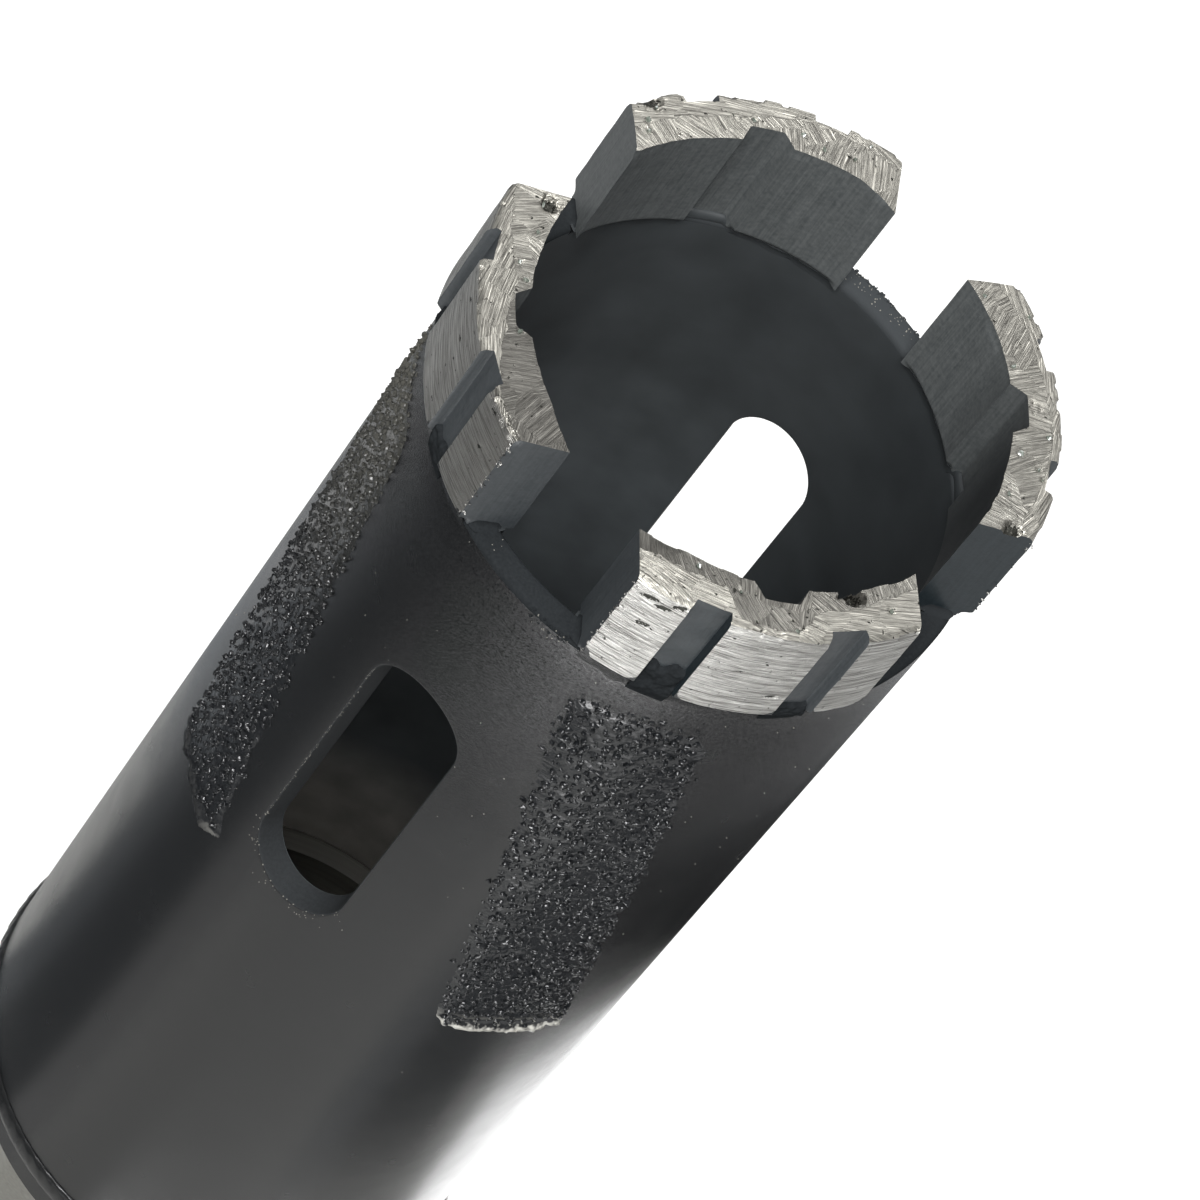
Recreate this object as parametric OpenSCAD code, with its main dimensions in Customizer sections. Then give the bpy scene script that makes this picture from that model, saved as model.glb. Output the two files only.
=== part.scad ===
// Diamond core bit: a slotted steel tube with welded cutting segments on its rim,
// slanted patches of diamond grit on its side and a threaded hub at its closed end.
// Millimetres. The origin is the centre of the hub's end face, and +Z points along
// the bit's axis towards the segments, so the bit stands on its hub.

/* [Tube] */
// Outside diameter of the tube
tube_d = 36.3; // [34:0.1:60]
// Wall thickness of the tube
tube_wall = 1.9; // [1.5:0.1:2.5]
// Length of the tube from the hub's shoulder to the rim
tube_length = 90; // [70:1:200]

/* [Slots] */
// Width of each slot, straight across the outside of the tube
slot_width = 7.7; // [5:0.1:9]
// Length of each slot from tip to tip
slot_length = 27.8; // [15:0.1:32]
// Distance from the rim down to the top of each slot
slot_depth = 14.2; // [8:0.1:20]
// Turn of the slots from the middle of the gap above each of them, in degrees
slot_turn = -1.2; // [-2:0.1:2]
// Number of gaps between segments from one slot to the next
gaps_per_slot = 2; // [1:1:2]

/* [Segments] */
// Number of segments around the rim
segment_count = 4; // [3:1:4]
// Height of each segment above the rim
segment_height = 10.2; // [7:0.1:13]
// How far each segment stands out past the outside of the tube
segment_outset = 0.85; // [0.6:0.05:1.2]
// How far each segment reaches in past the inside of the tube
segment_inset = 0.65; // [0.4:0.05:1]
// Gap between two segments, straight across between their inner corners
segment_gap = 6.1; // [4:0.1:8]
// Lean of each end face away from the segment's middle plane, in degrees
end_lean = 5; // [0:0.5:8]

/* [Segment grooves] */
// Width of the inner groove at its mouth
inner_groove_mouth = 3.45; // [2.5:0.05:4.5]
// Width of the inner groove at its floor
inner_groove_floor = 2.1; // [1.5:0.05:2.4]
// Depth of the inner groove
inner_groove_depth = 1.05; // [0.5:0.05:1.3]
// Width of each outer groove
outer_groove_width = 2.5; // [1.5:0.1:3]
// Depth of each outer groove
outer_groove_depth = 0.75; // [0.4:0.05:1]
// Distance between the middles of the two outer grooves, straight across
outer_groove_spacing = 8.9; // [7.5:0.1:9.5]

/* [Ground crown] */
// Width of the strip that is ground flat along the inner edge of the crown
crown_strip = 1.5; // [1:0.1:2]
// Fall of the crown's outer strip, in degrees
crown_fall = 3; // [1:0.5:8]
// Width of the bevel ground along the crown's outer edge
crown_bevel = 0.25; // [0.1:0.05:0.5]
// Depth ground off a segment's inner corner, where one has been ground
corner_drop = 0.8; // [0.3:0.1:1.5]
// Length of such a ground corner along the segment's inner edge
corner_length = 2.6; // [1.5:0.1:4]

/* [Segment welds] */
// Leg of the weld under each segment's foot, down the tube
weld_leg = 0.9; // [0.5:0.1:1.5]

/* [Grit patches] */
// Width of each patch, straight across the tube
patch_width = 10.4; // [7:0.1:11]
// Length of each patch along the tube
patch_length = 42.4; // [25:0.1:50]
// Distance from the rim down to the top of each patch
patch_depth = 3.2; // [2:0.1:8]
// Slant of each patch from the tube's length, in degrees
patch_slant = 9.2; // [0:0.1:10]
// Thickness of the bonded layer
patch_thickness = 0.35; // [0.2:0.05:0.5]
// Radius of each patch's corners
patch_corner = 1.8; // [0.5:0.1:3]

/* [Hub] */
// Diameter of the boss that screws onto a machine's spindle
boss_d = 25; // [24:0.5:28]
// Length of the boss below the shoulder
boss_length = 20; // [15:1:30]
// Distance across the two spanner flats
flats_width = 22; // [20:0.5:23]
// Length of the spanner flats, from the end face
flats_length = 13; // [8:0.5:14]
// Thickness of the shoulder that the tube stands on
shoulder_thickness = 4; // [3:0.5:8]
// Length of the spigot that fills the end of the tube
spigot_length = 6; // [4:0.5:10]
// Clearance between the spigot and the tube, on the radius
spigot_clearance = 0.05; // [0.02:0.01:0.1]
// Wall left around the recess in the spigot's face
spigot_wall = 2; // [1.5:0.1:3]
// Depth of that recess
recess_depth = 3.5; // [2:0.5:4]
// Diameter of the hole that an M14 thread is cut in
thread_core_d = 12; // [10:0.1:14]
// Chamfer at the hole's mouth and on the hub's turned edges
hub_chamfer = 1; // [0.5:0.1:1.5]

/* [Hub weld] */
// Width of the chamfers that the weld between the tube and the hub fills
groove_chamfer = 1; // [0.5:0.1:1.3]
// How far that weld stands out past the tube
weld_crown = 0.35; // [0.1:0.05:0.6]

/* [Hidden] */
$fn = 96;

// Length by which a cutting shape passes the face that it cuts
spare = 1;
// Straight steps in each half of the hub weld's round outside
bead_steps = 2;

tube_r = tube_d / 2;
bore_r = tube_r - tube_wall;
hub_top = boss_length + shoulder_thickness;
rim_z = hub_top + tube_length;
pitch = 360 / segment_count;

// The slots' sides point at the axis, so a slot is a wedge and its ends are cones.
slot_half_angle = asin(slot_width / 2 / tube_r);
slot_end_r = tube_r * tan(slot_half_angle);
slot_straight = slot_length - 2 * slot_end_r;
slot_low_centre = rim_z - slot_depth - slot_length + slot_end_r;

segment_outer_r = tube_r + segment_outset;
segment_inner_r = bore_r - segment_inset;
gap_angle = 2 * asin(segment_gap / 2 / segment_inner_r);
segment_half_angle = (pitch - gap_angle) / 2;
// The inner corner of a segment that lies along +X, and its half width there
corner_x = segment_inner_r * cos(segment_half_angle);
corner_y = segment_inner_r * sin(segment_half_angle);
outer_groove_angle = asin(outer_groove_spacing / 2 / segment_outer_r);
crown_z = rim_z + segment_height;
strip_r = segment_inner_r + crown_strip;
bevel_r = segment_outer_r - crown_bevel;
fall = (bevel_r - strip_r) * tan(crown_fall);
// Which end of each segment has a ground corner: -1 or 1, and 0 for none
ground_ends = [0, -1, 1, -1];

// Turn of the segment with this number, counted from 1
function segment_turn(number) = pitch * (number - 0.5);

// Half width of a segment at the distance x from the bit's axis
function half_width(x) = corner_y + (x - corner_x) * tan(end_lean);

// The point where a segment's end face meets the radius r
function end_point(r) =
    let (
        slope = tan(end_lean),
        start = half_width(0),
        x = (sqrt(r * r * (1 + slope * slope) - start * start) - slope * start) / (1 + slope * slope)
    )
    [x, half_width(x)];

// The angle of that point from the segment's middle plane
function end_angle(r) = atan2(end_point(r)[1], end_point(r)[0]);

// A ring about the axis, between two radii and two heights
module ring(inner_r, outer_r, low, high) {
    translate([0, 0, low])
    difference() {
        cylinder(r = outer_r, h = high - low);
        translate([0, 0, -spare]) cylinder(r = inner_r, h = high - low + 2 * spare);
    }
}

// One cooling slot as a cutting shape, along +X: a wedge with a half cone at each end
module slot_cut() {
    near = bore_r / 2;
    far = tube_r + spare;
    slope = tan(slot_half_angle);
    translate([0, 0, slot_low_centre])
    linear_extrude(height = slot_straight)
    polygon([[near, -near * slope], [far, -far * slope], [far, far * slope], [near, near * slope]]);
    for (end = [0, 1])
        translate([0, 0, slot_low_centre + end * slot_straight])
        mirror([0, 0, 1 - end])
        rotate([90, 0, 90])
        rotate_extrude(angle = 180)
        polygon([[0, near], [near * slope, near], [far * slope, far], [0, far]]);
}

module tube() {
    color([0.2, 0.2, 0.21])
    difference() {
        ring(bore_r, tube_r, hub_top, rim_z);
        for (gap = [1:gaps_per_slot:segment_count])
            rotate([0, 0, pitch * gap + slot_turn]) slot_cut();
        // chamfer for the hub weld
        rotate_extrude()
        polygon([
            [tube_r - groove_chamfer, hub_top],
            [tube_r + spare, hub_top + groove_chamfer + spare],
            [tube_r + spare, hub_top - spare],
            [tube_r - groove_chamfer, hub_top - spare]
        ]);
    }
}

// The hub is one turning, with its thread's core hole right through it.
module hub() {
    spigot_r = bore_r - spigot_clearance;
    color([0.55, 0.56, 0.57])
    difference() {
        rotate_extrude()
        polygon([
            [thread_core_d / 2 + hub_chamfer, 0],
            [boss_d / 2 - hub_chamfer, 0],
            [boss_d / 2, hub_chamfer],
            [boss_d / 2, boss_length],
            [tube_r - hub_chamfer, boss_length],
            [tube_r, boss_length + hub_chamfer],
            [tube_r, hub_top - groove_chamfer],
            [tube_r - groove_chamfer, hub_top],
            [spigot_r, hub_top],
            [spigot_r, hub_top + spigot_length],
            [spigot_r - spigot_wall, hub_top + spigot_length],
            [spigot_r - spigot_wall - recess_depth / 2, hub_top + spigot_length - recess_depth],
            [thread_core_d / 2, hub_top + spigot_length - recess_depth],
            [thread_core_d / 2, hub_chamfer]
        ]);
        for (side = [-1, 1])
            translate([-boss_d, side * (flats_width / 2 + boss_d / 2) - boss_d / 2, -spare])
            cube([2 * boss_d, boss_d, flats_length + spare]);
    }
}

// The weld fills the two chamfers where the tube meets the hub, and is rounded outside.
module hub_weld() {
    bead_r = (groove_chamfer * groove_chamfer + weld_crown * weld_crown) / (2 * weld_crown);
    bead_centre = tube_r + weld_crown - bead_r;
    half_arc = asin(groove_chamfer / bead_r);
    color([0.3, 0.3, 0.31])
    rotate_extrude()
    polygon(concat(
        [[tube_r - groove_chamfer, hub_top]],
        [for (step = [-bead_steps:bead_steps])
            let (angle = half_arc * step / bead_steps)
            [bead_centre + bead_r * cos(angle), hub_top + bead_r * sin(angle)]]
    ));
}

// A flat ground across one inner corner of the crown, as a cutting shape.
// Its upper edge runs from the segment's inner edge to the end face's outer corner.
module corner_cut() {
    outer = end_point(segment_outer_r);
    start_y = corner_y - corner_length;
    start = [sqrt(segment_inner_r * segment_inner_r - start_y * start_y), start_y];
    way = start - outer;
    run = norm(way);
    to_corner = [corner_x, corner_y] - outer;
    reach = abs(to_corner[0] * way[1] - to_corner[1] * way[0]) / run;
    translate([outer[0], outer[1], crown_z])
    rotate([0, 0, atan2(way[1], way[0])])
    rotate([atan(corner_drop / reach), 0, 0])
    translate([-run, -3 * run, 0])
    cube([3 * run, 3 * run, segment_height]);
}

// One segment, with a groove down its inside and two down its outside
module segment(number) {
    far_x = segment_outer_r + spare;
    color([0.66, 0.66, 0.64])
    rotate([0, 0, segment_turn(number)])
    difference() {
        intersection() {
            ring(segment_inner_r, segment_outer_r, rim_z, crown_z);
            translate([0, 0, rim_z - spare])
            linear_extrude(height = segment_height + 2 * spare)
            polygon([
                [0, -half_width(0)],
                [far_x, -half_width(far_x)],
                [far_x, half_width(far_x)],
                [0, half_width(0)]
            ]);
        }
        translate([0, 0, rim_z - spare])
        linear_extrude(height = segment_height + 2 * spare)
        polygon([
            [segment_inner_r - spare, -inner_groove_mouth / 2],
            [segment_inner_r, -inner_groove_mouth / 2],
            [segment_inner_r + inner_groove_depth, -inner_groove_floor / 2],
            [segment_inner_r + inner_groove_depth, inner_groove_floor / 2],
            [segment_inner_r, inner_groove_mouth / 2],
            [segment_inner_r - spare, inner_groove_mouth / 2]
        ]);
        for (side = [-1, 1])
            rotate([0, 0, side * outer_groove_angle])
            translate([segment_outer_r - outer_groove_depth, -outer_groove_width / 2, rim_z - spare])
            cube([outer_groove_depth + spare, outer_groove_width, segment_height + 2 * spare]);
        // the falling outer strip of the crown and the bevel along its edge
        rotate_extrude()
        polygon([
            [strip_r, crown_z],
            [bevel_r, crown_z - fall],
            [segment_outer_r, crown_z - fall - crown_bevel],
            [far_x, crown_z - fall - crown_bevel - spare],
            [far_x, crown_z + spare],
            [strip_r, crown_z + spare]
        ]);
        if (ground_ends[number - 1] > 0) corner_cut();
        if (ground_ends[number - 1] < 0) mirror([0, 1, 0]) corner_cut();
    }
}

// The weld under one segment's foot: a fillet inside the tube and one outside
module segment_weld(number) {
    inner_angle = end_angle(bore_r);
    outer_angle = end_angle(segment_outer_r);
    color([0.25, 0.25, 0.26])
    rotate([0, 0, segment_turn(number)]) {
        rotate([0, 0, -inner_angle])
        rotate_extrude(angle = 2 * inner_angle)
        polygon([
            [bore_r, rim_z],
            [segment_inner_r, rim_z],
            [bore_r, rim_z - weld_leg]
        ]);
        rotate([0, 0, -outer_angle])
        rotate_extrude(angle = 2 * outer_angle)
        polygon([
            [tube_r, rim_z],
            [segment_outer_r - outer_groove_depth / 2, rim_z],
            [tube_r, rim_z - weld_leg]
        ]);
    }
}

// A parallelogram with round corners, with y across and z along the tube
module patch_outline() {
    half_length = patch_length / 2 - patch_corner;
    half_across = patch_width / 2 - patch_corner / cos(patch_slant);
    lean = half_length * tan(patch_slant);
    centres = [
        [half_across - lean, half_length],
        [-half_across - lean, half_length],
        [-half_across + lean, -half_length],
        [half_across + lean, -half_length]
    ];
    side = [cos(patch_slant), sin(patch_slant)];
    up = [0, 1];
    polygon([
        centres[0] + patch_corner * side,
        centres[0] + patch_corner * up,
        centres[1] + patch_corner * up,
        centres[1] - patch_corner * side,
        centres[2] - patch_corner * side,
        centres[2] - patch_corner * up,
        centres[3] - patch_corner * up,
        centres[3] + patch_corner * side
    ]);
    for (centre = centres) translate(centre) circle(r = patch_corner);
}

// One patch of grit, wrapped on the outside of the tube below its segment
module grit_patch(number) {
    color([0.13, 0.13, 0.14])
    rotate([0, 0, segment_turn(number)])
    intersection() {
        ring(
            tube_r,
            tube_r + patch_thickness,
            rim_z - patch_depth - patch_length - spare,
            rim_z - patch_depth + spare
        );
        translate([0, 0, rim_z - patch_depth - patch_length / 2])
        rotate([90, 0, 90])
        linear_extrude(height = tube_d)
        patch_outline();
    }
}

tube();
hub();
hub_weld();
for (i = [1:segment_count]) segment(i);
for (i = [1:segment_count]) segment_weld(i);
for (i = [1:segment_count]) grit_patch(i);
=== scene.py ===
"""The finished surfaces of the diamond core bit: coated tube, ground segments, grit, welds and hub."""

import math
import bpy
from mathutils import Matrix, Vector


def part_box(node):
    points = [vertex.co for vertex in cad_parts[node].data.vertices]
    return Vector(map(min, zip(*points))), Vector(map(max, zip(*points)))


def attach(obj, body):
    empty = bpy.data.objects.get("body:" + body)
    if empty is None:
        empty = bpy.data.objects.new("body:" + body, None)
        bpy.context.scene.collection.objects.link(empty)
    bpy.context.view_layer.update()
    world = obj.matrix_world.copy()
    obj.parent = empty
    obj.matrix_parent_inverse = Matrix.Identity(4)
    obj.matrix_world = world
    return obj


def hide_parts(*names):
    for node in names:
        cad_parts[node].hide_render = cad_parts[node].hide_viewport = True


bl_info = {
    "name": "Diamond Core Bit",
    "version": (1, 0, 0),
    "blender": (4, 5, 0),
    "location": "3D View > Sidebar > Core Bit",
    "description": "Makes the pieces and finishes of a diamond core bit around its packed frame",
    "category": "Add Mesh",
}

import bmesh
import bpy
import numpy as np
from bpy.props import (
    FloatProperty,
    FloatVectorProperty,
    IntProperty,
    PointerProperty,
)
from mathutils import Quaternion, Vector, noise

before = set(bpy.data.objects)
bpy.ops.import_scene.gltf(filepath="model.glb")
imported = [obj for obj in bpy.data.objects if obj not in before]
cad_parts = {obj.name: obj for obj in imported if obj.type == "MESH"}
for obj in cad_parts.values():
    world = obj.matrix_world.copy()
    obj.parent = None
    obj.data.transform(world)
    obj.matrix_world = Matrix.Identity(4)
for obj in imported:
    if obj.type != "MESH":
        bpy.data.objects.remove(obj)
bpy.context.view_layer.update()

MM = 0.001
BODY = "root"
SEGMENTS = (1, 2, 3, 4)
FULL_TURN = 2 * math.pi

TUBE_LOW, TUBE_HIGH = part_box("tube")
SEGMENT_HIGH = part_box("segment_1")[1]
TUBE_R = TUBE_HIGH.x
SHOULDER_Z = TUBE_LOW.z
RIM_Z = TUBE_HIGH.z
CROWN_Z = SEGMENT_HIGH.z
HUB_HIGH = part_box("hub")[1]


def length(name, description, mm):
    """A size in millimetres, kept in metres."""
    return FloatProperty(
        name=name, description=description, default=mm * MM, min=0, unit="LENGTH", precision=5,
    )


def turn(name, description, degrees):
    """An angle in degrees, kept in radians."""
    return FloatProperty(
        name=name, description=description, default=math.radians(degrees), subtype="ANGLE",
    )


def linear(hex_value):
    """The linear colour of an sRGB hex value."""
    out = []
    for place in (1, 3, 5):
        value = int(hex_value[place:place + 2], 16) / 255
        out.append(value / 12.92 if value <= 0.04045 else ((value + 0.055) / 1.055) ** 2.4)
    return (*out, 1.0)


def colour(name, description, hex_value):
    """A colour given as an sRGB hex value."""
    return FloatVectorProperty(
        name=name, description=description, default=linear(hex_value), size=4, min=0, max=1,
        subtype="COLOR",
    )


class CoreBitTubeSizes(bpy.types.PropertyGroup):
    wall: length("Wall", "Thickness of the tube's wall", 1.9)
    slot_width: length("Slot width", "Straight across the outside of the tube", 7.7)
    slot_length: length("Slot length", "From tip to tip", 27.8)
    slot_depth: length("Slot depth", "From the rim down to the top of each slot", 14.2)
    slot_turn: turn("Slot turn", "From the middle of the gap above each slot", -1.2)
    slot_edge: length("Slot edge", "Radius that the coating gives a slot's edges", 0.11)
    rim_edge: length("Rim edge", "Radius of the rim's edges", 0.45)
    weld_groove: length("Weld groove", "Chamfer at the foot, filled by the hub weld", 1.0)
    speck_count: IntProperty(
        name="Specks", description="Grains of dust on the outside", default=120, min=0,
    )


class CoreBitSegmentSizes(bpy.types.PropertyGroup):
    outset: length("Outset", "How far a segment stands out past the tube", 0.85)
    inset: length("Inset", "How far a segment reaches in past the bore", 0.65)
    gap: length("Gap", "Between two segments, straight across their inner corners", 6.1)
    lean: turn("End lean", "Lean of each end face", 5)
    inner_mouth: length("Inner groove mouth", "Width of the inner groove at its mouth", 3.45)
    inner_floor: length("Inner groove floor", "Width of the inner groove at its floor", 2.1)
    inner_depth: length("Inner groove depth", "Depth of the inner groove", 1.05)
    outer_width: length("Outer groove width", "Width of each outer groove", 2.5)
    outer_depth: length("Outer groove depth", "Depth of each outer groove", 0.75)
    outer_spacing: length("Outer groove spacing", "Between the two outer grooves", 8.9)
    fall: turn("Crown fall", "Fall of the crown's outer strip", 3)
    bevel: length("Crown bevel", "Bevel along the crown's outer edge", 0.25)
    corner_drop: length("Corner drop", "Ground off a segment's inner corner", 0.8)
    corner_length: length("Corner length", "Length of a ground corner", 2.6)
    groove_wall: length("Groove wall", "Run of an outer groove's wall, with its round edges", 0.16)
    paint_edge: length("Paint edge", "Height of the bare metal's lower edge over the rim", 0.75)
    paint_corner: length("Paint corner", "Radius of the bare metal's lower corners", 1.2)


class CoreBitWeldSizes(bpy.types.PropertyGroup):
    leg: length("Seam leg", "Reach of a segment's seam down the tube", 0.9)
    ring_crown: length("Ring crown", "How far the hub weld stands out", 0.35)
    ring_half: length("Ring half width", "Half the hub weld's width", 1.0)
    ripple: length("Ripple", "Spacing of the hub weld's ripples", 1.35)


class CoreBitGritSizes(bpy.types.PropertyGroup):
    width: length("Width", "Straight across the tube", 10.4)
    length: length("Length", "Along the tube", 42.4)
    depth: length("Depth", "From the rim down to the patch", 3.2)
    slant: turn("Slant", "From the tube's length", 9.2)
    corner: length("Corner", "Radius of the patch's corners", 1.8)
    binder: length("Binder", "Thickness of the resin that holds the grains", 0.17)
    grain: length("Grain", "Diameter of a coarse grain", 0.5)
    fine_grain: length("Fine grain", "Diameter of a fine grain", 0.27)
    seed: IntProperty(name="Seed", description="Seed of the scatter", default=11)


class CoreBitHubSizes(bpy.types.PropertyGroup):
    boss_d: length("Boss", "Diameter of the boss", 25)
    boss_length: length("Boss length", "From the end face to the shoulder", 20)
    flats_width: length("Flats", "Across the spanner flats", 22)
    flats_length: length("Flats length", "From the end face", 13)
    spigot_gap: length("Spigot clearance", "Between spigot and tube", 0.05)
    spigot_wall: length("Spigot wall", "Wall left around the recess", 2)
    recess: length("Recess", "Depth of the recess in the spigot", 3.5)
    core_d: length("Thread core", "Diameter inside the thread's crests", 12)
    thread_depth: length("Thread depth", "Depth of the thread's groove", 0.95)
    thread_pitch: length("Thread pitch", "Rise of the thread in one turn", 2)
    chamfer: length("Chamfer", "Chamfer on turned edges", 1)


class CoreBitColours(bpy.types.PropertyGroup):
    coat: colour("Coat", "Satin black powder coat", "#191a1b")
    # the inside colour is greyish like thin coat on steel, and drawn lighter than that as painted light
    # on the shaded wall low down
    inside: colour("Inside", "Thin coat low down inside the tube", "#a09c96")
    segment_coat: colour("Segment coat", "Coat left on a segment's inside and edges", "#696c6c")
    metal: colour("Ground bond", "Sintered metal on a segment's outside", "#dcdbd7")
    crown: colour("Crown bond", "Sintered metal on a segment's crown", "#d6d3c9")
    metal_dark: colour("Scratches", "Sintered metal in the bottom of a scratch", "#5b5955")
    steel: colour("Turned steel", "The hub", "#b4b3ae")
    dust: colour("Dust", "Mineral dust", "#9a988f")
    floor: colour("Floor", "The pale floor", "#b8b8b6")


class CoreBitStage(bpy.types.PropertyGroup):
    aim: FloatVectorProperty(
        name="Aim", description="Point that the camera looks at",
        default=(2.5 * MM, -9.07 * MM, 107.07 * MM), size=3, subtype="TRANSLATION",
    )
    azimuth: turn("Azimuth", "Where the camera stands around the bit, from +X", -78.02)
    elevation: turn("Elevation", "How high the camera stands", 53.54)
    roll: turn("Roll", "How far the camera is rolled", 38.1)
    distance: length("Distance", "From the aim to the camera", 421.7)
    lens: FloatProperty(name="Lens", description="Focal length in mm", default=207.39, min=1)


class CoreBitSettings(bpy.types.PropertyGroup):
    tube: PointerProperty(type=CoreBitTubeSizes)
    segment: PointerProperty(type=CoreBitSegmentSizes)
    weld: PointerProperty(type=CoreBitWeldSizes)
    grit: PointerProperty(type=CoreBitGritSizes)
    hub: PointerProperty(type=CoreBitHubSizes)
    colours: PointerProperty(type=CoreBitColours)
    stage: PointerProperty(type=CoreBitStage)


def settings():
    return bpy.context.scene.core_bit


def polar(radius, angle, height):
    """Points at these radii, angles and heights about the bit's axis."""
    radius, angle, height = np.broadcast_arrays(radius, angle, height)
    return np.stack([radius * np.cos(angle), radius * np.sin(angle), height], axis=-1)


def ease(value):
    """0 below 0, 1 above 1 and a smooth step between."""
    value = np.clip(value, 0, 1)
    return value * value * (3 - 2 * value)


def wander(points, spacing, seed=0):
    """Smooth noise from -1 to 1 at these points, with features of about this spacing."""
    shift = Vector((17.3 * seed, 5.1 * seed, -9.7 * seed))
    flat = np.asarray(points, float).reshape(-1, 3) / spacing
    out = [noise.noise(Vector(p) + shift) for p in flat]
    return np.array(out).reshape(np.asarray(points).shape[:-1])


def edge_of(grid):
    """The values round the edge of a grid, in order."""
    return np.concatenate([grid[0, :-1], grid[:-1, -1], grid[-1, :0:-1], grid[:0:-1, 0]])


class Skin:
    """Points and faces that grow into one mesh."""

    def __init__(self):
        self.points, self.faces, self.slots = [], [], []
        self.count = 0

    def add(self, points):
        """Adds an array of points and returns their numbers in the same layout."""
        points = np.asarray(points, float)
        numbers = np.arange(self.count, self.count + points[..., 0].size)
        self.points.append(points.reshape(-1, 3))
        self.count += numbers.size
        return numbers.reshape(points.shape[:-1])

    def quads(self, a, b, c, d, slot=0):
        rows = np.stack([np.ravel(a), np.ravel(b), np.ravel(c), np.ravel(d)], axis=1)
        self.faces.extend(rows.tolist())
        self.slots.extend([slot] * len(rows))

    def band(self, first, second, slot=0, closed=True):
        """Joins two rows of points with quads."""
        if closed:
            self.quads(first, np.roll(first, -1), np.roll(second, -1), second, slot)
        else:
            self.quads(first[:-1], first[1:], second[1:], second[:-1], slot)

    def sheet(self, grid, slot=0, turned=False):
        """Fills a grid of points with quads, which face the other way when turned."""
        first, second, third, last = grid[:-1, :-1], grid[:-1, 1:], grid[1:, 1:], grid[1:, :-1]
        if turned:
            second, last = last, second
        self.quads(first, second, third, last, slot)

    def cap(self, ring):
        """Closes a ring of points with one face."""
        self.faces.append([int(i) for i in ring])
        self.slots.append(0)

    def bar(self, rows, slot=0):
        """Joins rows of points that run along a bar, and closes both of its ends."""
        for first, second in zip(rows, rows[1:] + rows[:1]):
            self.band(first, second, slot, closed=False)
        for end in (0, -1):
            self.cap([row[end] for row in rows])

    def build(self, name, finishes, sharp=None, attributes=None):
        """The piece with these points, faces and finishes, with its edges sharp from an angle on."""
        mesh = bpy.data.meshes.new(name)
        mesh.from_pydata(np.concatenate(self.points).tolist(), [], self.faces)
        mesh.polygons.foreach_set("material_index", self.slots)
        for key, values in (attributes or {}).items():
            layer = mesh.attributes.new(key, "FLOAT", "POINT")
            layer.data.foreach_set("value", np.asarray(values, np.float32).ravel())
        work = bmesh.new()
        work.from_mesh(mesh)
        loose = [v for v in work.verts if not v.link_faces]
        bmesh.ops.delete(work, geom=loose, context="VERTS")
        bmesh.ops.remove_doubles(work, verts=work.verts, dist=1e-7)
        bmesh.ops.recalc_face_normals(work, faces=work.faces)
        work.to_mesh(mesh)
        work.free()
        for finish in finishes:
            mesh.materials.append(material(finish))
        mesh.shade_smooth()
        if sharp is not None:
            mesh.set_sharp_from_angle(angle=math.radians(sharp))
        made = bpy.data.objects.new(name, mesh)
        bpy.context.scene.collection.objects.link(made)
        return made


def finish_piece(piece, slot, *nodes):
    """Puts a piece on its body and in place of its CAD nodes; its slot is not used."""
    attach(piece, BODY)
    if nodes:
        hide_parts(*nodes)


def add(tree, kind, *inputs, **properties):
    """Adds a node with its properties, and sets or links its inputs: in order, or by name in a dict.

    A shader node goes by its kind without ShaderNode, and a node stands for its first output.
    """
    made = tree.nodes.new(kind if "Node" in kind else f"ShaderNode{kind}")
    for key, value in properties.items():
        setattr(made, key, value)
    named = {}
    if inputs and isinstance(inputs[-1], dict):
        *inputs, named = inputs
    pairs = list(zip([socket for socket in made.inputs if socket.enabled], inputs))
    pairs += [(made.inputs[key], value) for key, value in named.items()]
    for socket, value in pairs:
        if isinstance(value, bpy.types.Node):
            value = next(output for output in value.outputs if output.enabled)
        if isinstance(value, bpy.types.NodeSocket):
            tree.links.new(value, socket)
        else:
            socket.default_value = value
    return made


def new_material(name, finish, *details):
    """A material whose shader comes from a finish, which is given its tree and object coordinates."""
    made = bpy.data.materials.new(name)
    made.use_nodes = True
    tree = made.node_tree
    tree.nodes.clear()
    coords = add(tree, "TexCoord").outputs["Object"]
    add(tree, "OutputMaterial", {"Surface": finish(tree, coords, *details)})
    return made


def stretched(tree, coords, along, across, upright):
    """Coordinates about the axis, scaled so that a noise of size 1 has these lengths."""
    parts = add(tree, "SeparateXYZ", coords).outputs
    angle = add(tree, "Math", parts[1], parts[0], operation="ARCTAN2")
    arc = add(tree, "Math", angle, TUBE_R, operation="MULTIPLY")
    flat = add(tree, "CombineXYZ", parts[0], parts[1])
    radius = add(tree, "VectorMath", flat, operation="LENGTH")
    joined = add(tree, "CombineXYZ", arc, radius, parts[2])
    return add(tree, "Mapping", {"Vector": joined, "Scale": (1 / along, 1 / across, 1 / upright)})


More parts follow.
